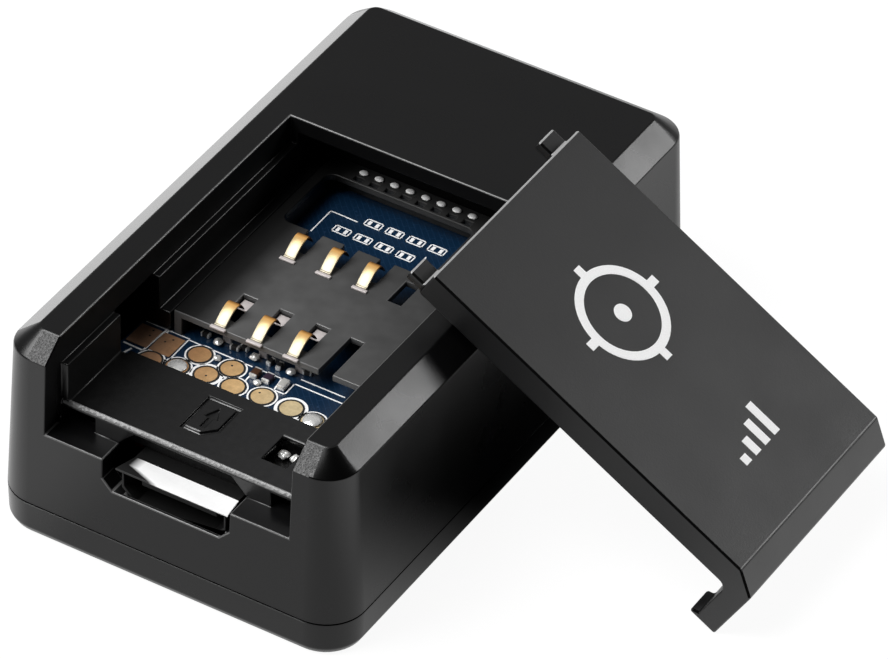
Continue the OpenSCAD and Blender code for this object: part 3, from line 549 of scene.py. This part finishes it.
brown_to_gold = [(0.05, (0.42, 0.24, 0.15)), (0.3, (0.64, 0.34, 0.15)),
                 (0.55, (0.92, 0.6, 0.28)), (0.83, (0.9, 0.72, 0.42))]
pads_shaded_left = along_x("pads_shade_ramp", -9 * mm, 5 * mm, brown_to_gold, 0.8, 1.15)
deck_light_and_shade = along_x("deck_shade_ramp", -8 * mm, 8 * mm, [(0.1, 0.2), (0.9, 2.3)], 0.8, 1.2)
lip_painted_shade = along_x("lip_shade_ramp", -3.05 * mm, -2.35 * mm, [(0.0, 0.01), (1.0, 1.0)], 0.98, 1.02,
                   slant=2.47)

# %% [markdown]
# The board is glass cloth and resin under a thin blue lacquer. Copper tracks lie under
# the lacquer, at 45 degrees: a brick texture's joints give them. Small holes joined to
# them show as dots. Both stand up a little and are rougher than the rest.

# %% Circuit board: tracks and holes
board_low, board_high = (Vector(corner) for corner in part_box("main_board"))
board, given, result = start_group("lacquered_board")
points = object_points(board, given)
turned = put(board, "ShaderNodeVectorRotate", {"rotation_type": "Z_AXIS"}, Vector=points,
             Angle=math.radians(45))
tracks = put(board, "ShaderNodeTexBrick", {"offset": 0.37, "squash": 0.6, "squash_frequency": 3},
             Vector=turned.outputs[0], Scale=1.3, Mortar_Size=0.028, Brick_Width=1.7,
             Row_Height=0.42, Mortar_Smooth=0.3)
dots = ranged(board, cells(board, points, 1.15), 0.07, 0.11, 1.0, 0.0)
relief = calc(board, "MAXIMUM", tracks.outputs["Fac"], dots)
roughened(board, given, relief, 0.0, 0.12, result)
bumped(board, given, relief, result, 0.6)
print("board from", board_low / mm, "to", board_high / mm)

# %% [markdown]
# The lacquer is lighter over the copper. Under the deck the board is painted near black as the
# deck's shadow, so the colour goes over to near black along Y within a narrow band.

# %% Circuit board: colour
deck_end = board_low.y + 4.3 * mm
tint = ranged(board, relief, 0.0, 1.0, 0.9, 1.45)
lacquer = vector_calc(board, "SCALE", given["Colour"], Scale=tint)
deck_shadow_mask = ranged(board, object_axes(board)["Y"], deck_end - 0.3 * mm, deck_end, 1.0, 0.0)
painted_deck_shadow = put(board, "ShaderNodeMix", {"data_type": "RGBA"}, Factor=deck_shadow_mask, A=lacquer,
              B=rgba(0.002))
board.links.new(painted_deck_shadow.outputs["Result"], result["Colour"])

# %% [markdown]
# The finishes are named after the slots in the record. Each row gives the group, the
# linear colour, the roughness, the grains per millimetre, the depth of the bumps in
# thousandths of a millimetre, the shine and how metallic it is. A black case is near
# 0.01, not 0. Where a row stops early, the rest is as in the function.

# %% Finishes
def surface(name, group, colour, roughness, per_mm=9.0, depth=4.0, shine=0.5, metallic=0.0):
    """A material whose colour, roughness and bump come from a group."""
    material, tree, shader = new_material(name)
    node = put(tree, "ShaderNodeGroup", {"node_tree": group}, Colour=rgba(colour),
               Size=per_mm / mm, Depth=depth * mm / 1000, Roughness=roughness)
    tree.links.new(node.outputs["Colour"], shader.inputs["Base Color"])
    for title in ("Roughness", "Normal"):
        tree.links.new(node.outputs[title], shader.inputs[title])
    shader.inputs["Specular IOR Level"].default_value = shine
    shader.inputs["Metallic"].default_value = metallic
    return material


looks = {
    "case_plastic": (grain, (0.0022, 0.0022, 0.0024), 0.29, 8, 6, 0.45),
    "cover_plastic": (grain, (0.006, 0.006, 0.0063), 0.4, 8, 9, 0.45),
    "white_ink": (grain, 0.95, 0.6, 20, 2, 0.3),
    "holder_plastic": (plate_painted_shade, 0.092, 0.45, 14, 4, 0.3),
    "gold_contact": (plated, 1.0, 0.4, 14, 1.5, 0.5, 0.65),
    "tin_plate": (rolled, (0.85, 0.84, 0.8), 0.35, 9, 4, 0.5, 0.6),
    "board_blue": (board, (0.0034, 0.0195, 0.05), 0.3, 1, 20),
    "board_green": (board, (0.01, 0.1, 0.03), 0.35, 1, 20),
    "socket_metal": (rolled, 0.86, 0.4, 6, 3, 0.5, 1.0),
    "cell_foil": (foil, (0.7, 0.71, 0.73), 0.3, 0.8, 60, 0.5, 1.0),
    "amber_film": (foil, (0.6, 0.3, 0.04), 0.2, 0.5, 30),
    "foam": (foam, (0.03, 0.03, 0.033), 0.9, 6, 100, 0.2),
    "magnet_nickel": (rolled, (0.75, 0.75, 0.77), 0.25, 4, 3, 0.5, 1.0),
    "lead_red": (grain, (0.5, 0.02, 0.02), 0.4),
    "lead_black": (grain, 0.015, 0.4),
    "chip_black": (grain, 0.012, 0.6, 18),
    "ceramic": (speckled, (0.6, 0.53, 0.4), 0.7, 8, 10, 0.4),
}
finishes = {name: surface(name, *look) for name, look in looks.items()}
slot_of = {row["node"]: row["material_slot"] for row in frame["record"]["subparts"]}
for name, node in frame["nodes"].items():
    node.data.materials.clear()
    node.data.materials.append(finishes[slot_of[name]])
print("finishes:", len(finishes))

# %% [markdown]
# A few pieces share a slot but don't look alike. Test pads are thin gold over copper that has
# dulled to tan. Solder is whiter and softer than tin plate. The socket's shell has a near white
# lip, a painted highlight, and sides painted black as shade. The case's edges are painted paler
# than its faces as a highlight, and two small patches on the front bevel are rough and painted
# paler as a highlight. Most of the finishes after these are lit and shaded copies of the plastics:
# painted highlights, sheen and shade.

# %% Finishes of single pieces
single_looks = {
    "pad_gold": (pads_shaded_left, 0.7, 0.45, 9, 6, 0.5, 0.15),
    "solder": (speckled, (0.9, 0.9, 0.88), 0.28, 7, 30, 0.5, 0.6),
    "dome_white": (speckled, (1.0, 1.0, 0.99), 0.6, 7, 10, 1.0, 0.15),
    "foot_tin": (rolled, (0.6, 0.55, 0.54), 0.4, 9, 4, 0.5, 0.2),
    "lip_painted_highlight": (lip_painted_shade, 0.98, 0.4, 6, 3, 0.3),
    "shell_painted_shade": (rolled, 0.012, 0.4, 6, 3, 0.4, 0.3),
    "edge_painted_highlight": (grain, 0.085, 0.3, 12, 4, 0.7),
    "front_edge_highlight": (speckled, 0.14, 0.35, 4, 80, 0.7),
    "patch_painted_highlight": (foam, 0.13, 0.45, 9, 120, 0.6),
    "bevel_painted_sheen": (grain, 0.15, 0.14, 12, 2, 1.0),
    "corner_painted_shade": (grain, 0.001, 0.28, 8, 4, 0.15),
    "painted_shade_black": (grain, 0.001, 0.8, 12, 4, 0.05),
    "well_painted_shade": (grain, (0.0018, 0.0018, 0.002), 0.6, 12, 4, 0.15),
    "deck_painted_ramp": (deck_light_and_shade, (0.006, 0.006, 0.0062), 0.35, 8, 6, 0.45),
    "cover_painted_highlight": (grain, 0.34, 0.3, 12, 4, 0.7),
    "end_painted_light": (grain, 0.012, 0.35, 12, 4, 0.62),
    "end_edge_painted_light": (grain, 0.018, 0.35, 12, 4, 0.6),
    "front_wall_painted_light": (grain, 0.11, 0.5, 14),
    "brown_body": (speckled, (0.06, 0.024, 0.01), 0.45, 14),
    "violet_body": (speckled, (0.028, 0.014, 0.03), 0.45, 14),
}
finishes.update({name: surface(name, *look) for name, look in single_looks.items()})

# %% [markdown]
# ## Softened edges
# A mould can't cut a perfectly sharp edge, and the thin bright line along each edge is
# what tells the eye that a piece is real. Each solid is copied, its loose triangles are
# merged and flat areas joined, and a bevel rounds the edges. The copy stands for the
# solid in the picture, while the solid stays in the frame.

# %% Softened copies
body_of = {n: body for body, names in frame["record"]["behaviour"]["bodies"].items() for n in names}
sharp_turn = math.radians(28)
smooth_turn = math.radians(40)
soft = {}


def softened(node, width, edge=None):
    """A copy of a solid with rounded edges, which take a finish of their own if given."""
    source = frame["nodes"][node]
    pick(source)
    bpy.ops.object.duplicate()
    piece = bpy.context.object
    for key in list(piece.keys()):
        del piece[key]  # the frame's marks stay with the solid
    piece.parent = None
    piece.matrix_world = source.matrix_world.copy()
    bpy.ops.object.transform_apply(location=True, rotation=True, scale=True)
    piece.name = node + "_soft"
    edit_all(piece)
    bpy.ops.mesh.remove_doubles(threshold=0.002 * mm)
    bpy.ops.mesh.dissolve_limited(angle_limit=math.radians(0.6))
    leave_edit()
    bevel = piece.modifiers.new("soft_edges", "BEVEL")
    bevel.limit_method = "ANGLE"
    bevel.angle_limit = sharp_turn
    bevel.width = width
    bevel.segments = 2
    bevel.use_clamp_overlap = False
    if edge:
        piece.data.materials.append(edge)
        bevel.material = 1
    bpy.ops.object.modifier_apply(modifier=bevel.name)
    bpy.ops.object.shade_smooth_by_angle(angle=smooth_turn)
    weigh = piece.modifiers.new("flat_faces", "WEIGHTED_NORMAL")
    weigh.keep_sharp = True
    bpy.ops.object.modifier_apply(modifier=weigh.name)
    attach(piece, body_of[node])
    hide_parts(node)
    soft[node] = piece
    return piece


# %% [markdown]
# The widths are in millimetres: a moulded case is rounder at its edges than a punched contact. On
# the moulded pieces the rounded edges take a paler finish, a painted highlight.

# %% Soften the pieces
edge_widths = {
    "upper_case": 0.09, "bottom_cover": 0.1, "access_cover": 0.12, "card_holder": 0.06,
    "contact_feet": 0.03, "usb_shell": 0.04, "usb_tongue": 0.05, "usb_contacts": 0.02,
    "battery_board": 0.05, "magnet_front": 0.15, "magnet_rear": 0.15,
    "radio_shield": 0.1, "processor_chip": 0.05, "power_chip": 0.05, "crystal_can": 0.1,
    "ceramic_antenna": 0.1, "antenna_spring": 0.04, "microphone": 0.12, "foam_pad": 0.2,
    "main_board": 0.04, **{f"sim_contact_{i}": 0.025 for i in range(1, 7)},
}
moulded = ("upper_case", "access_cover", "card_holder")
for name, width in edge_widths.items():
    piece = softened(name, width * mm, edge=finishes["edge_painted_highlight"] if name in moulded else None)
    print(piece.name, len(piece.data.polygons), "faces")

# %% [markdown]
# Some faces of the copies have a finish of their own. Materials are given by index, one
# index per face. A finish can only change from face to face, so where one ends in the
# middle of a face a bisect first cuts the face in two.

# %% Helpers for painting faces
def repaint(piece, *names):
    """Gives a piece a new list of finishes."""
    piece.data.materials.clear()
    add_finishes(piece, *names)


def add_finishes(piece, *names):
    """Adds finishes to those that a piece has; the indices go on counting."""
    for name in names:
        piece.data.materials.append(finishes[name])


def cut_across(piece, y):
    """Cuts all of a piece's faces at a Y, without taking anything away."""
    edit_all(piece)
    bpy.ops.mesh.bisect(plane_co=(0, y, 0), plane_no=(0, 1, 0))
    leave_edit()


# %% [markdown]
# The socket's shell has a painted highlight on its upper lip, near white, and painted shade, near
# black, everywhere else. The lip is the thin top of the shell in front of the case.

# %% The socket's lip
shell = soft["usb_shell"]
shell_top = max(v.co.z for v in shell.data.vertices)
lip_end = -18.7 * mm
lip_thick = 0.16 * mm
cut_across(shell, lip_end)
repaint(shell, "shell_painted_shade", "lip_painted_highlight")
for face in shell.data.polygons:
    at_top = face.center.z > shell_top - lip_thick and face.normal.z > -0.3
    face.material_index = 1 if at_top and face.center.y < lip_end else 0

# %% [markdown]
# The mouth of a socket is flared to guide the plug in. The points of the mouth are
# selected one by one in object mode, and then lifted and spread in edit mode.

# %% The socket's mouth
mouth = min(v.co.y for v in shell.data.vertices)
middle = sum(v.co.x for v in shell.data.vertices) / len(shell.data.vertices)
mouth_lift = 0.2 * mm
mouth_spread = 1.08
edit_all(shell)
bpy.ops.mesh.select_all(action="DESELECT")
leave_edit()
for vertex in shell.data.vertices:
    vertex.select = vertex.co.y < mouth + 0.1 * mm
bpy.ops.object.mode_set(mode="EDIT")
bpy.ops.transform.translate(value=(0, 0, mouth_lift))
bpy.ops.transform.resize(value=(mouth_spread, 1, 1), center_override=(middle, mouth, shell_top))
leave_edit()

# %% [markdown]
# The case has nine finishes. Faces are plain and only the edges round the well and over the socket
# take the painted edge highlight. The bevel round the top is rough with a painted highlight in
# front, has a painted sheen on the left and painted shade at the front right corner. The lower rim
# lies in the seam and is painted black as shade. The well's walls take a darker, duller copy,
# painted shade, and the deck in front of it is painted darker at the left and paler at the right,
# with a painted highlight on its front edge.

# %% Where the case's finishes lie
case = soft["upper_case"]
add_finishes(case, "patch_painted_highlight", "bevel_painted_sheen", "painted_shade_black", "well_painted_shade", "deck_painted_ramp",
             "front_edge_highlight", "corner_painted_shade")
PLAIN, LIT_EDGE, PATCH, SHEEN_BEVEL, SEAM, SHADED_WELL, DECK, LIT_FRONT_EDGE, SHADED_CORNER = range(9)
case_low, case_high = (Vector(corner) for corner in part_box("upper_case"))
bevel_low, bevel_high = case_high.z - 1.4 * mm, case_high.z - 0.1 * mm
rim_low = case_high.z - 0.15 * mm
well_side, well_back = 8.7 * mm, 7.6 * mm
wall_side, wall_low = 9.3 * mm, 9.6 * mm
front_back, front_top = case_low.y + 1.9 * mm, 8.2 * mm
deck_side, deck_back, deck_top, deck_front = 8.4 * mm, -12 * mm, 9.47 * mm, -18.55 * mm

# %% [markdown]
# Three lines on the deck take the painted edge highlight: the back of the card sign, the edge at
# its front left and the back edge of the hole at the right. Each row gives a line's distance behind
# the deck's front, where it starts and where it ends along X.

# %% The deck's finishes
bright_lines = [[v * mm for v in row] for row in ((5.025, -1.4, 1.0), (1.975, -1.4, -0.4),
                                                  (4.35, 4.1, 6.0))]


def deck_finish(x, y, tilt):
    """The finish of a face at the deck's level, by its place and the way it faces."""
    faces_front = tilt.y < -0.3 and tilt.z > 0.3
    if faces_front and y < deck_front + 0.3 * mm:
        # The front edge's painted highlight stops short of the left end, which takes the well's
        # painted shade.
        return LIT_FRONT_EDGE if x > -8 * mm else SHADED_WELL
    if faces_front:
        bright = any(abs(y - deck_front - line) < 0.12 * mm and left < x < right
                     for line, left, right in bright_lines)
        return LIT_EDGE if bright else PLAIN
    return DECK if tilt.z > 0.9 else PLAIN


# %% [markdown]
# The rules are tried one after the other, and the first that holds decides. A face's
# normal tells which way it faces: a bevel's normal has an upward and a sideways part.

# %% The case's finishes
def case_finish(face):
    """The finish of a face of the case, by its place and the way it faces."""
    x, y, z = face.center
    tilt = face.normal
    on_bevel = bevel_low < z < bevel_high
    at_well = z > rim_low and abs(x) < well_side and y < well_back
    at_front = y < front_back and abs(x) < well_side and z < front_top and abs(tilt.z) > 0.3
    well_wall = tilt.x > 0.5 and x < 0 or tilt.y < -0.5 and y > 5 * mm
    if face.material_index == LIT_EDGE and (at_well or at_front):
        return LIT_EDGE
    if on_bevel and tilt.y < -0.5 and tilt.z > 0.5 and abs(tilt.x) < 0.05:
        return PATCH
    if on_bevel and tilt.x < -0.5 and tilt.z > 0.5 and abs(tilt.y) < 0.05:
        return SHEEN_BEVEL
    if on_bevel and tilt.y < -0.05 and tilt.z > 0.3 and tilt.x > 0.05:
        return SHADED_CORNER
    if z < case_low.z + 0.12 * mm and tilt.z < -0.15:
        return SEAM
    if z > wall_low and abs(x) < wall_side and well_wall:
        return SHADED_WELL
    if abs(z - deck_top) < 0.25 * mm and abs(x) < deck_side and y < deck_back:
        return deck_finish(x, y, tilt)
    return PLAIN


counts = [0] * len(case.data.materials)
for face in case.data.polygons:
    face.material_index = case_finish(face)
    counts[face.material_index] += 1
print("case faces of each finish:", counts)

# %% [markdown]
# The holder's front wall takes a paler copy of the plastic, painted light. At the left end and in
# the back half no edge catches the light, so there the painted edge highlight is left off and the
# edges are as dark as the plate.

# %% The holder's finishes
plate = soft["card_holder"]
add_finishes(plate, "front_wall_painted_light")
LIT_FRONT_WALL = 2
plate_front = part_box("card_holder")[0][1] + 0.1 * mm
for face in plate.data.polygons:
    x, y, _ = face.center
    if face.normal.y < -0.7 and y < plate_front and x > -5.5 * mm:
        face.material_index = LIT_FRONT_WALL
    elif x < -5 * mm or y > 0:
        face.material_index = PLAIN

# %% [markdown]
# The loose cover has a painted highlight along its short upper edge, and its long near edge is
# painted black as its own shadow. Its lower end, with the chamfer there, is painted a little paler
# than its face as light. The two directions are those of the cover as it lies. The bottom cover is
# painted black as shade where it meets the case, which draws the seam between the two.

# %% Paint the covers
cover = soft["access_cover"]
add_finishes(cover, "cover_painted_highlight", "painted_shade_black", "end_painted_light", "end_edge_painted_light")
BRIGHT_LINE, SHADOW, LIT_END, LIT_END_EDGE = range(2, 6)
down_slope, cover_up = Vector((0.86, 0, -0.51)), Vector((0.51, 0, 0.86))
short_edge = min(vertex.co.dot(down_slope) for vertex in cover.data.vertices)
for face in cover.data.polygons:
    was_edge = face.material_index == LIT_EDGE
    slope, faces_up = face.normal.dot(down_slope), face.normal.dot(cover_up) > 0.3
    near_short_edge = face.center.dot(down_slope) < short_edge + 3 * mm
    if faces_up and slope > 0.15 and abs(face.normal.y) < 0.1:
        face.material_index = LIT_END_EDGE if was_edge else LIT_END
    elif was_edge and near_short_edge and faces_up and slope < -0.3:
        face.material_index = BRIGHT_LINE
    elif was_edge and faces_up and face.normal.y < -0.3:
        face.material_index = SHADOW
    else:
        face.material_index = PLAIN
bottom = soft["bottom_cover"]
add_finishes(bottom, "painted_shade_black")
for face in bottom.data.polygons:
    if face.center.z > case_low.z - 0.15 * mm and face.normal.z > 0.2:
        face.material_index = len(bottom.data.materials) - 1

# %% [markdown]
# The contacts' feet are soldered and have lost their gold. The test pads are solids of
# the frame itself: too thin to be softened, they only change their finish.

# %% Feet and pads
repaint(soft["contact_feet"], "foot_tin")
repaint(frame["nodes"]["test_pads"], "pad_gold")

# %% [markdown]
# ## Printed lines on the board
# The board's white print is a few hundredths of a millimetre thick. Straight strokes are
# planes stretched between two points, rings are circles extruded outwards, and all of
# them are joined and lifted to their thickness together.

# %% Strokes and rings
board_top = board_high.z
print_t = 0.02 * mm


def stroke(a, b, width):
    """A flat bar between two points on the board, given in millimetres."""
    start, end = Vector((*a, 0)) * mm, Vector((*b, 0)) * mm
    middle, along = (start + end) / 2, end - start
    bpy.ops.mesh.primitive_plane_add(size=1, location=(middle.x, middle.y, board_top),
                                     rotation=(0, 0, math.atan2(along.y, along.x)))
    bar = bpy.context.object
    bar.scale = (along.length + width * mm, width * mm, 1)
    return bar


def strokes(points, width):
    return [stroke(a, b, width) for a, b in zip(points, points[1:])]


def ring(x, y, inner, outer):
    """A flat ring on the board, in metres."""
    bpy.ops.mesh.primitive_circle_add(vertices=40, radius=inner, location=(x, y, board_top))
    edit_all(bpy.context.object)
    bpy.ops.mesh.extrude_region_move()
    grow = outer / inner
    bpy.ops.transform.resize(value=(grow, grow, 1), center_override=(x, y, board_top))
    leave_edit()
    return bpy.context.object


# %% [markdown]
# Each row is a stroke's width and the points that it runs through, in millimetres. The
# strokes frame the pads and the small parts. The two rows of boxes behind the holder mark
# parts that aren't fitted: each is a rectangle with a dash near either end.

# %% Lines, brackets and bars
holder_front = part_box("card_holder")[0][1] / mm
lines = [
    (0.085, [(-5.83, -11.1), (-5.87, holder_front - 0.1), (-1.4, holder_front - 0.14)]),
    (0.085, [(-1.02, -10.14), (-1.1, -8.88), (0.68, -8.86), (0.84, -10.0), (1.6, -9.98),
            (1.58, -8.86), (8.4, -8.86)]),
    (0.085, [(1.72, -8.31), (4.7, -8.31)]),
    (0.12, [(-8.95, -11.1), (-7.62, -11.14), (-7.46, -8.78)]),
    (0.12, [(-7.3, -8.78), (-7.34, -11.2), (-5.83, -11.2)]),
    (0.07, [(-8.9, -8.76), (-5.87, -8.76)]),
    (0.12, [(-8.44, -11.86), (-8.3, -11.4)]),
    (0.12, [(-7.44, -11.97), (-7.38, -11.25)]),
    (0.085, [(-5.31, 3.82), (-5.33, 6.12), (-3.44, 6.08)]),
    (0.085, [(1.85, 3.6), (1.86, 5.4)]),
]
pieces = [bar for width, points in lines for bar in strokes(points, width)]
pitch, length, half = 1.5, 1.1, 0.3
for y, left in ((6.4, -3.0), (4.85, -4.3)):
    for x in (left + pitch * i for i in range(4)):
        pieces += strokes([(x, y - half), (x, y + half), (x + length, y + half),
                           (x + length, y - half), (x, y - half)], 0.08)
        pieces += [stroke((x + end, y - 0.08), (x + end, y + 0.08), 0.22) for end in (0.28, 0.82)]
print("strokes:", len(pieces))

# %% [markdown]
# Each round pad has a ring round it, and two of the rings are drawn wider. The pads'
# places are read from the CAD solids: a round pad is as wide as it is long.

# %% Rings round the pads
wide_rings = (3, 7)
pads = separate_solids("test_pads")
round_pads = [(low, high) for low, high in pads if abs((high - low).x - (high - low).y) < 0.05 * mm]
for i, (low, high) in enumerate(round_pads):
    middle, radius = (low + high) / 2, (high.x - low.x) / 2
    thick = 0.2 * mm if i in wide_rings else 0.11 * mm
    pieces.append(ring(middle.x, middle.y, radius + 0.1 * mm, radius + 0.1 * mm + thick))
board_print = join(pieces, "board_print")


def thicken(piece, thickness):
    """Gives a flat piece a thickness upwards, with its normals outwards."""
    edit_all(piece)
    bpy.ops.mesh.extrude_region_move(TRANSFORM_OT_translate={"value": (0, 0, thickness)})
    bpy.ops.mesh.select_all(action="SELECT")
    bpy.ops.mesh.normals_make_consistent(inside=False)
    leave_edit()


thicken(board_print, print_t)
repaint(board_print, "white_ink")
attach(board_print, "case")
print("rings:", len(round_pads), "print faces:", len(board_print.data.polygons))

# %% [markdown]
# The lacquer stops short of each pad, and the dark resin under it shows as a thin line
# between the gold and the white ring.

# %% Gaps round the pads
gaps = []
for low, high in round_pads:
    middle, radius = (low + high) / 2, (high.x - low.x) / 2
    gaps.append(ring(middle.x, middle.y, radius - 0.03 * mm, radius + 0.09 * mm))
pad_gaps = join(gaps, "pad_gaps")
thicken(pad_gaps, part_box("test_pads")[1][2] - board_top + 0.006 * mm)
repaint(pad_gaps, "chip_black")
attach(pad_gaps, "case")

# %% [markdown]
# ## Solder
# Molten solder pulls itself into a dome. A sphere is cut through its middle, flattened
# and set down, and seeded noise keeps the domes from looking machined: lumps tells how
# far it moves the points of a ball of radius 1. Two round pads carry a wide dome too.

# %% Solder domes
def dome(x, y, radius, height, seed, base=board_top, lumps=0.05, length=None):
    """A flattened half ball, longer along Y if a length is given."""
    bpy.ops.mesh.primitive_uv_sphere_add(segments=10, ring_count=6, radius=1, location=(0, 0, 0))
    edit_all(bpy.context.object)
    bpy.ops.mesh.bisect(plane_co=(0, 0, 0), plane_no=(0, 0, 1), use_fill=True, clear_inner=True)
    bpy.ops.mesh.select_all(action="SELECT")
    bpy.ops.transform.vertex_random(offset=lumps, seed=seed)
    bpy.ops.transform.resize(value=(radius, length or radius, height), center_override=(0, 0, 0))
    bpy.ops.transform.translate(value=(x, y, base + lumps * height))
    leave_edit()
    bead = bpy.context.object
    round_off = bead.modifiers.new("round_off", "SUBSURF")
    round_off.levels = round_off.render_levels = 2
    bpy.ops.object.modifier_apply(modifier=round_off.name)
    bpy.ops.object.shade_smooth()
    return bead


domes = []
for seed, (low, high) in enumerate(separate_solids("solder_joints")):
    middle, size = (low + high) / 2, high - low
    domes.append(dome(middle.x, middle.y, size.x / 2 * 1.15, size.z * 0.9, seed, lumps=0.42))
pad_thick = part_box("test_pads")[1][2]
for i, height in ((1, 0.16 * mm), (len(round_pads) - 1, 0.28 * mm)):
    low, high = round_pads[i]
    middle = (low + high) / 2
    domes.append(dome(middle.x, middle.y, (high.x - low.x) * 0.5, height, 20 + i, pad_thick))
solder_domes = join(domes, "solder_domes")
repaint(solder_domes, "solder")
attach(solder_domes, "case")
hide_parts("solder_joints")
print("domes:", len(domes))

# %% [markdown]
# The small card's contacts are the same kind of dome, longer and tinned white.

# %% Reader contacts
domes = []
for seed, (low, high) in enumerate(separate_solids("reader_contacts")):
    middle, size = (low + high) / 2, high - low
    domes.append(dome(middle.x, middle.y, size.x / 2 * 1.2, size.z * 0.9, 40 + seed, low.z,
                      lumps=0.03, length=size.y / 2 * 1.15))
reader_domes = join(domes, "reader_domes")
repaint(reader_domes, "dome_white")
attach(reader_domes, "case")
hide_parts("reader_contacts")

# %% [markdown]
# Small plated holes run through some of the pads down to the copper inside the board. Each
# is a dark disc with a thin raised rim.

# %% Plated holes
def hole(x, y, radius=0.07 * mm):
    """A dark disc with a rim on top of a pad, at a place in millimetres."""
    bpy.ops.mesh.primitive_circle_add(vertices=16, radius=radius, fill_type="NGON",
                                      location=(x * mm, y * mm, pad_thick + 0.004 * mm))
    edit_all(bpy.context.object)
    bpy.ops.mesh.inset(thickness=0.02 * mm, depth=0)
    bpy.ops.transform.translate(value=(0, 0, -0.003 * mm))
    leave_edit()
    return bpy.context.object


hole_places = [(-8.07, -9.3), (-8.0, -9.8), (-6.6, -9.4), (-6.92, -9.8), (-3.2, -11.1),
               (0.3, -10.7), (-2.4, -9.5)]
plated_holes = join([hole(x, y) for x, y in hole_places], "plated_holes")
repaint(plated_holes, "chip_black")
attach(plated_holes, "case")

# %% [markdown]
# ## Small parts
# A chip resistor is a ceramic block whose two ends are dipped in solder. One cube is cut
# near both ends, the end faces take the solder, and a bevel rounds the whole.

# %% Small parts
def small_part(x, y, length, width, height, turn=0.0, cap=0.2, body="chip_black"):
    """A two-ended part on the board, in metres, with its ends along Y before the turn."""
    bpy.ops.mesh.primitive_cube_add(size=1, location=(0, 0, 0))
    part = bpy.context.object
    repaint(part, body, "solder")
    edit_all(bpy.context.object)
    for side in (-1, 1):
        bpy.ops.mesh.bisect(plane_co=(0, side * (0.5 - cap), 0), plane_no=(0, 1, 0))
        bpy.ops.mesh.select_all(action="SELECT")
    bpy.ops.transform.resize(value=(width, length, height), center_override=(0, 0, 0))
    bpy.ops.transform.rotate(value=turn, orient_axis="Z", center_override=(0, 0, 0))
    leave_edit()
    along = Vector((math.sin(turn), math.cos(turn), 0))
    for face in part.data.polygons:
        face.material_index = 1 if abs(face.center.dot(along)) > (0.5 - cap) * length else 0
    bevel = part.modifiers.new("soft_edges", "BEVEL")
    bevel.width = 0.04 * mm
    bevel.segments = 2
    bpy.ops.object.modifier_apply(modifier=bevel.name)
    part.location = (x, y, board_top + height / 2)
    bpy.ops.object.shade_smooth_by_angle(angle=smooth_turn)
    return part


# %% [markdown]
# The resistors stand where the CAD has them and take the place of its blocks. A row of
# smaller filter parts lies along the holder's front edge: each is given by X and Y in
# millimetres and by its turn in degrees.

# %% Resistors and filters
parts = []
bodies = ("brown_body", "violet_body", "tin_plate")
for (low, high), body in zip(separate_solids("board_resistors"), bodies):
    middle, size = (low + high) / 2, high - low
    parts.append(small_part(middle.x, middle.y, size.y, size.x, size.z, cap=0.16, body=body))
resistors = join(parts, "resistors")
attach(resistors, "case")
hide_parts("board_resistors")
under_edge = [(-3.1, -8.1, 84), (-2.6, -7.8, 97), (-0.6, -8.05, 8), (0.05, -8.1, -5),
              (-5.2, -8.0, 90), (1.75, -7.7, 80)]
filter_size = (0.6 * mm, 0.32 * mm, 0.3 * mm)
parts = [small_part(x * mm, y * mm, *filter_size, math.radians(turn)) for x, y, turn in under_edge]
filters = join(parts, "filter_parts")
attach(filters, "case")
print("small parts:", len(under_edge) + len(bodies))
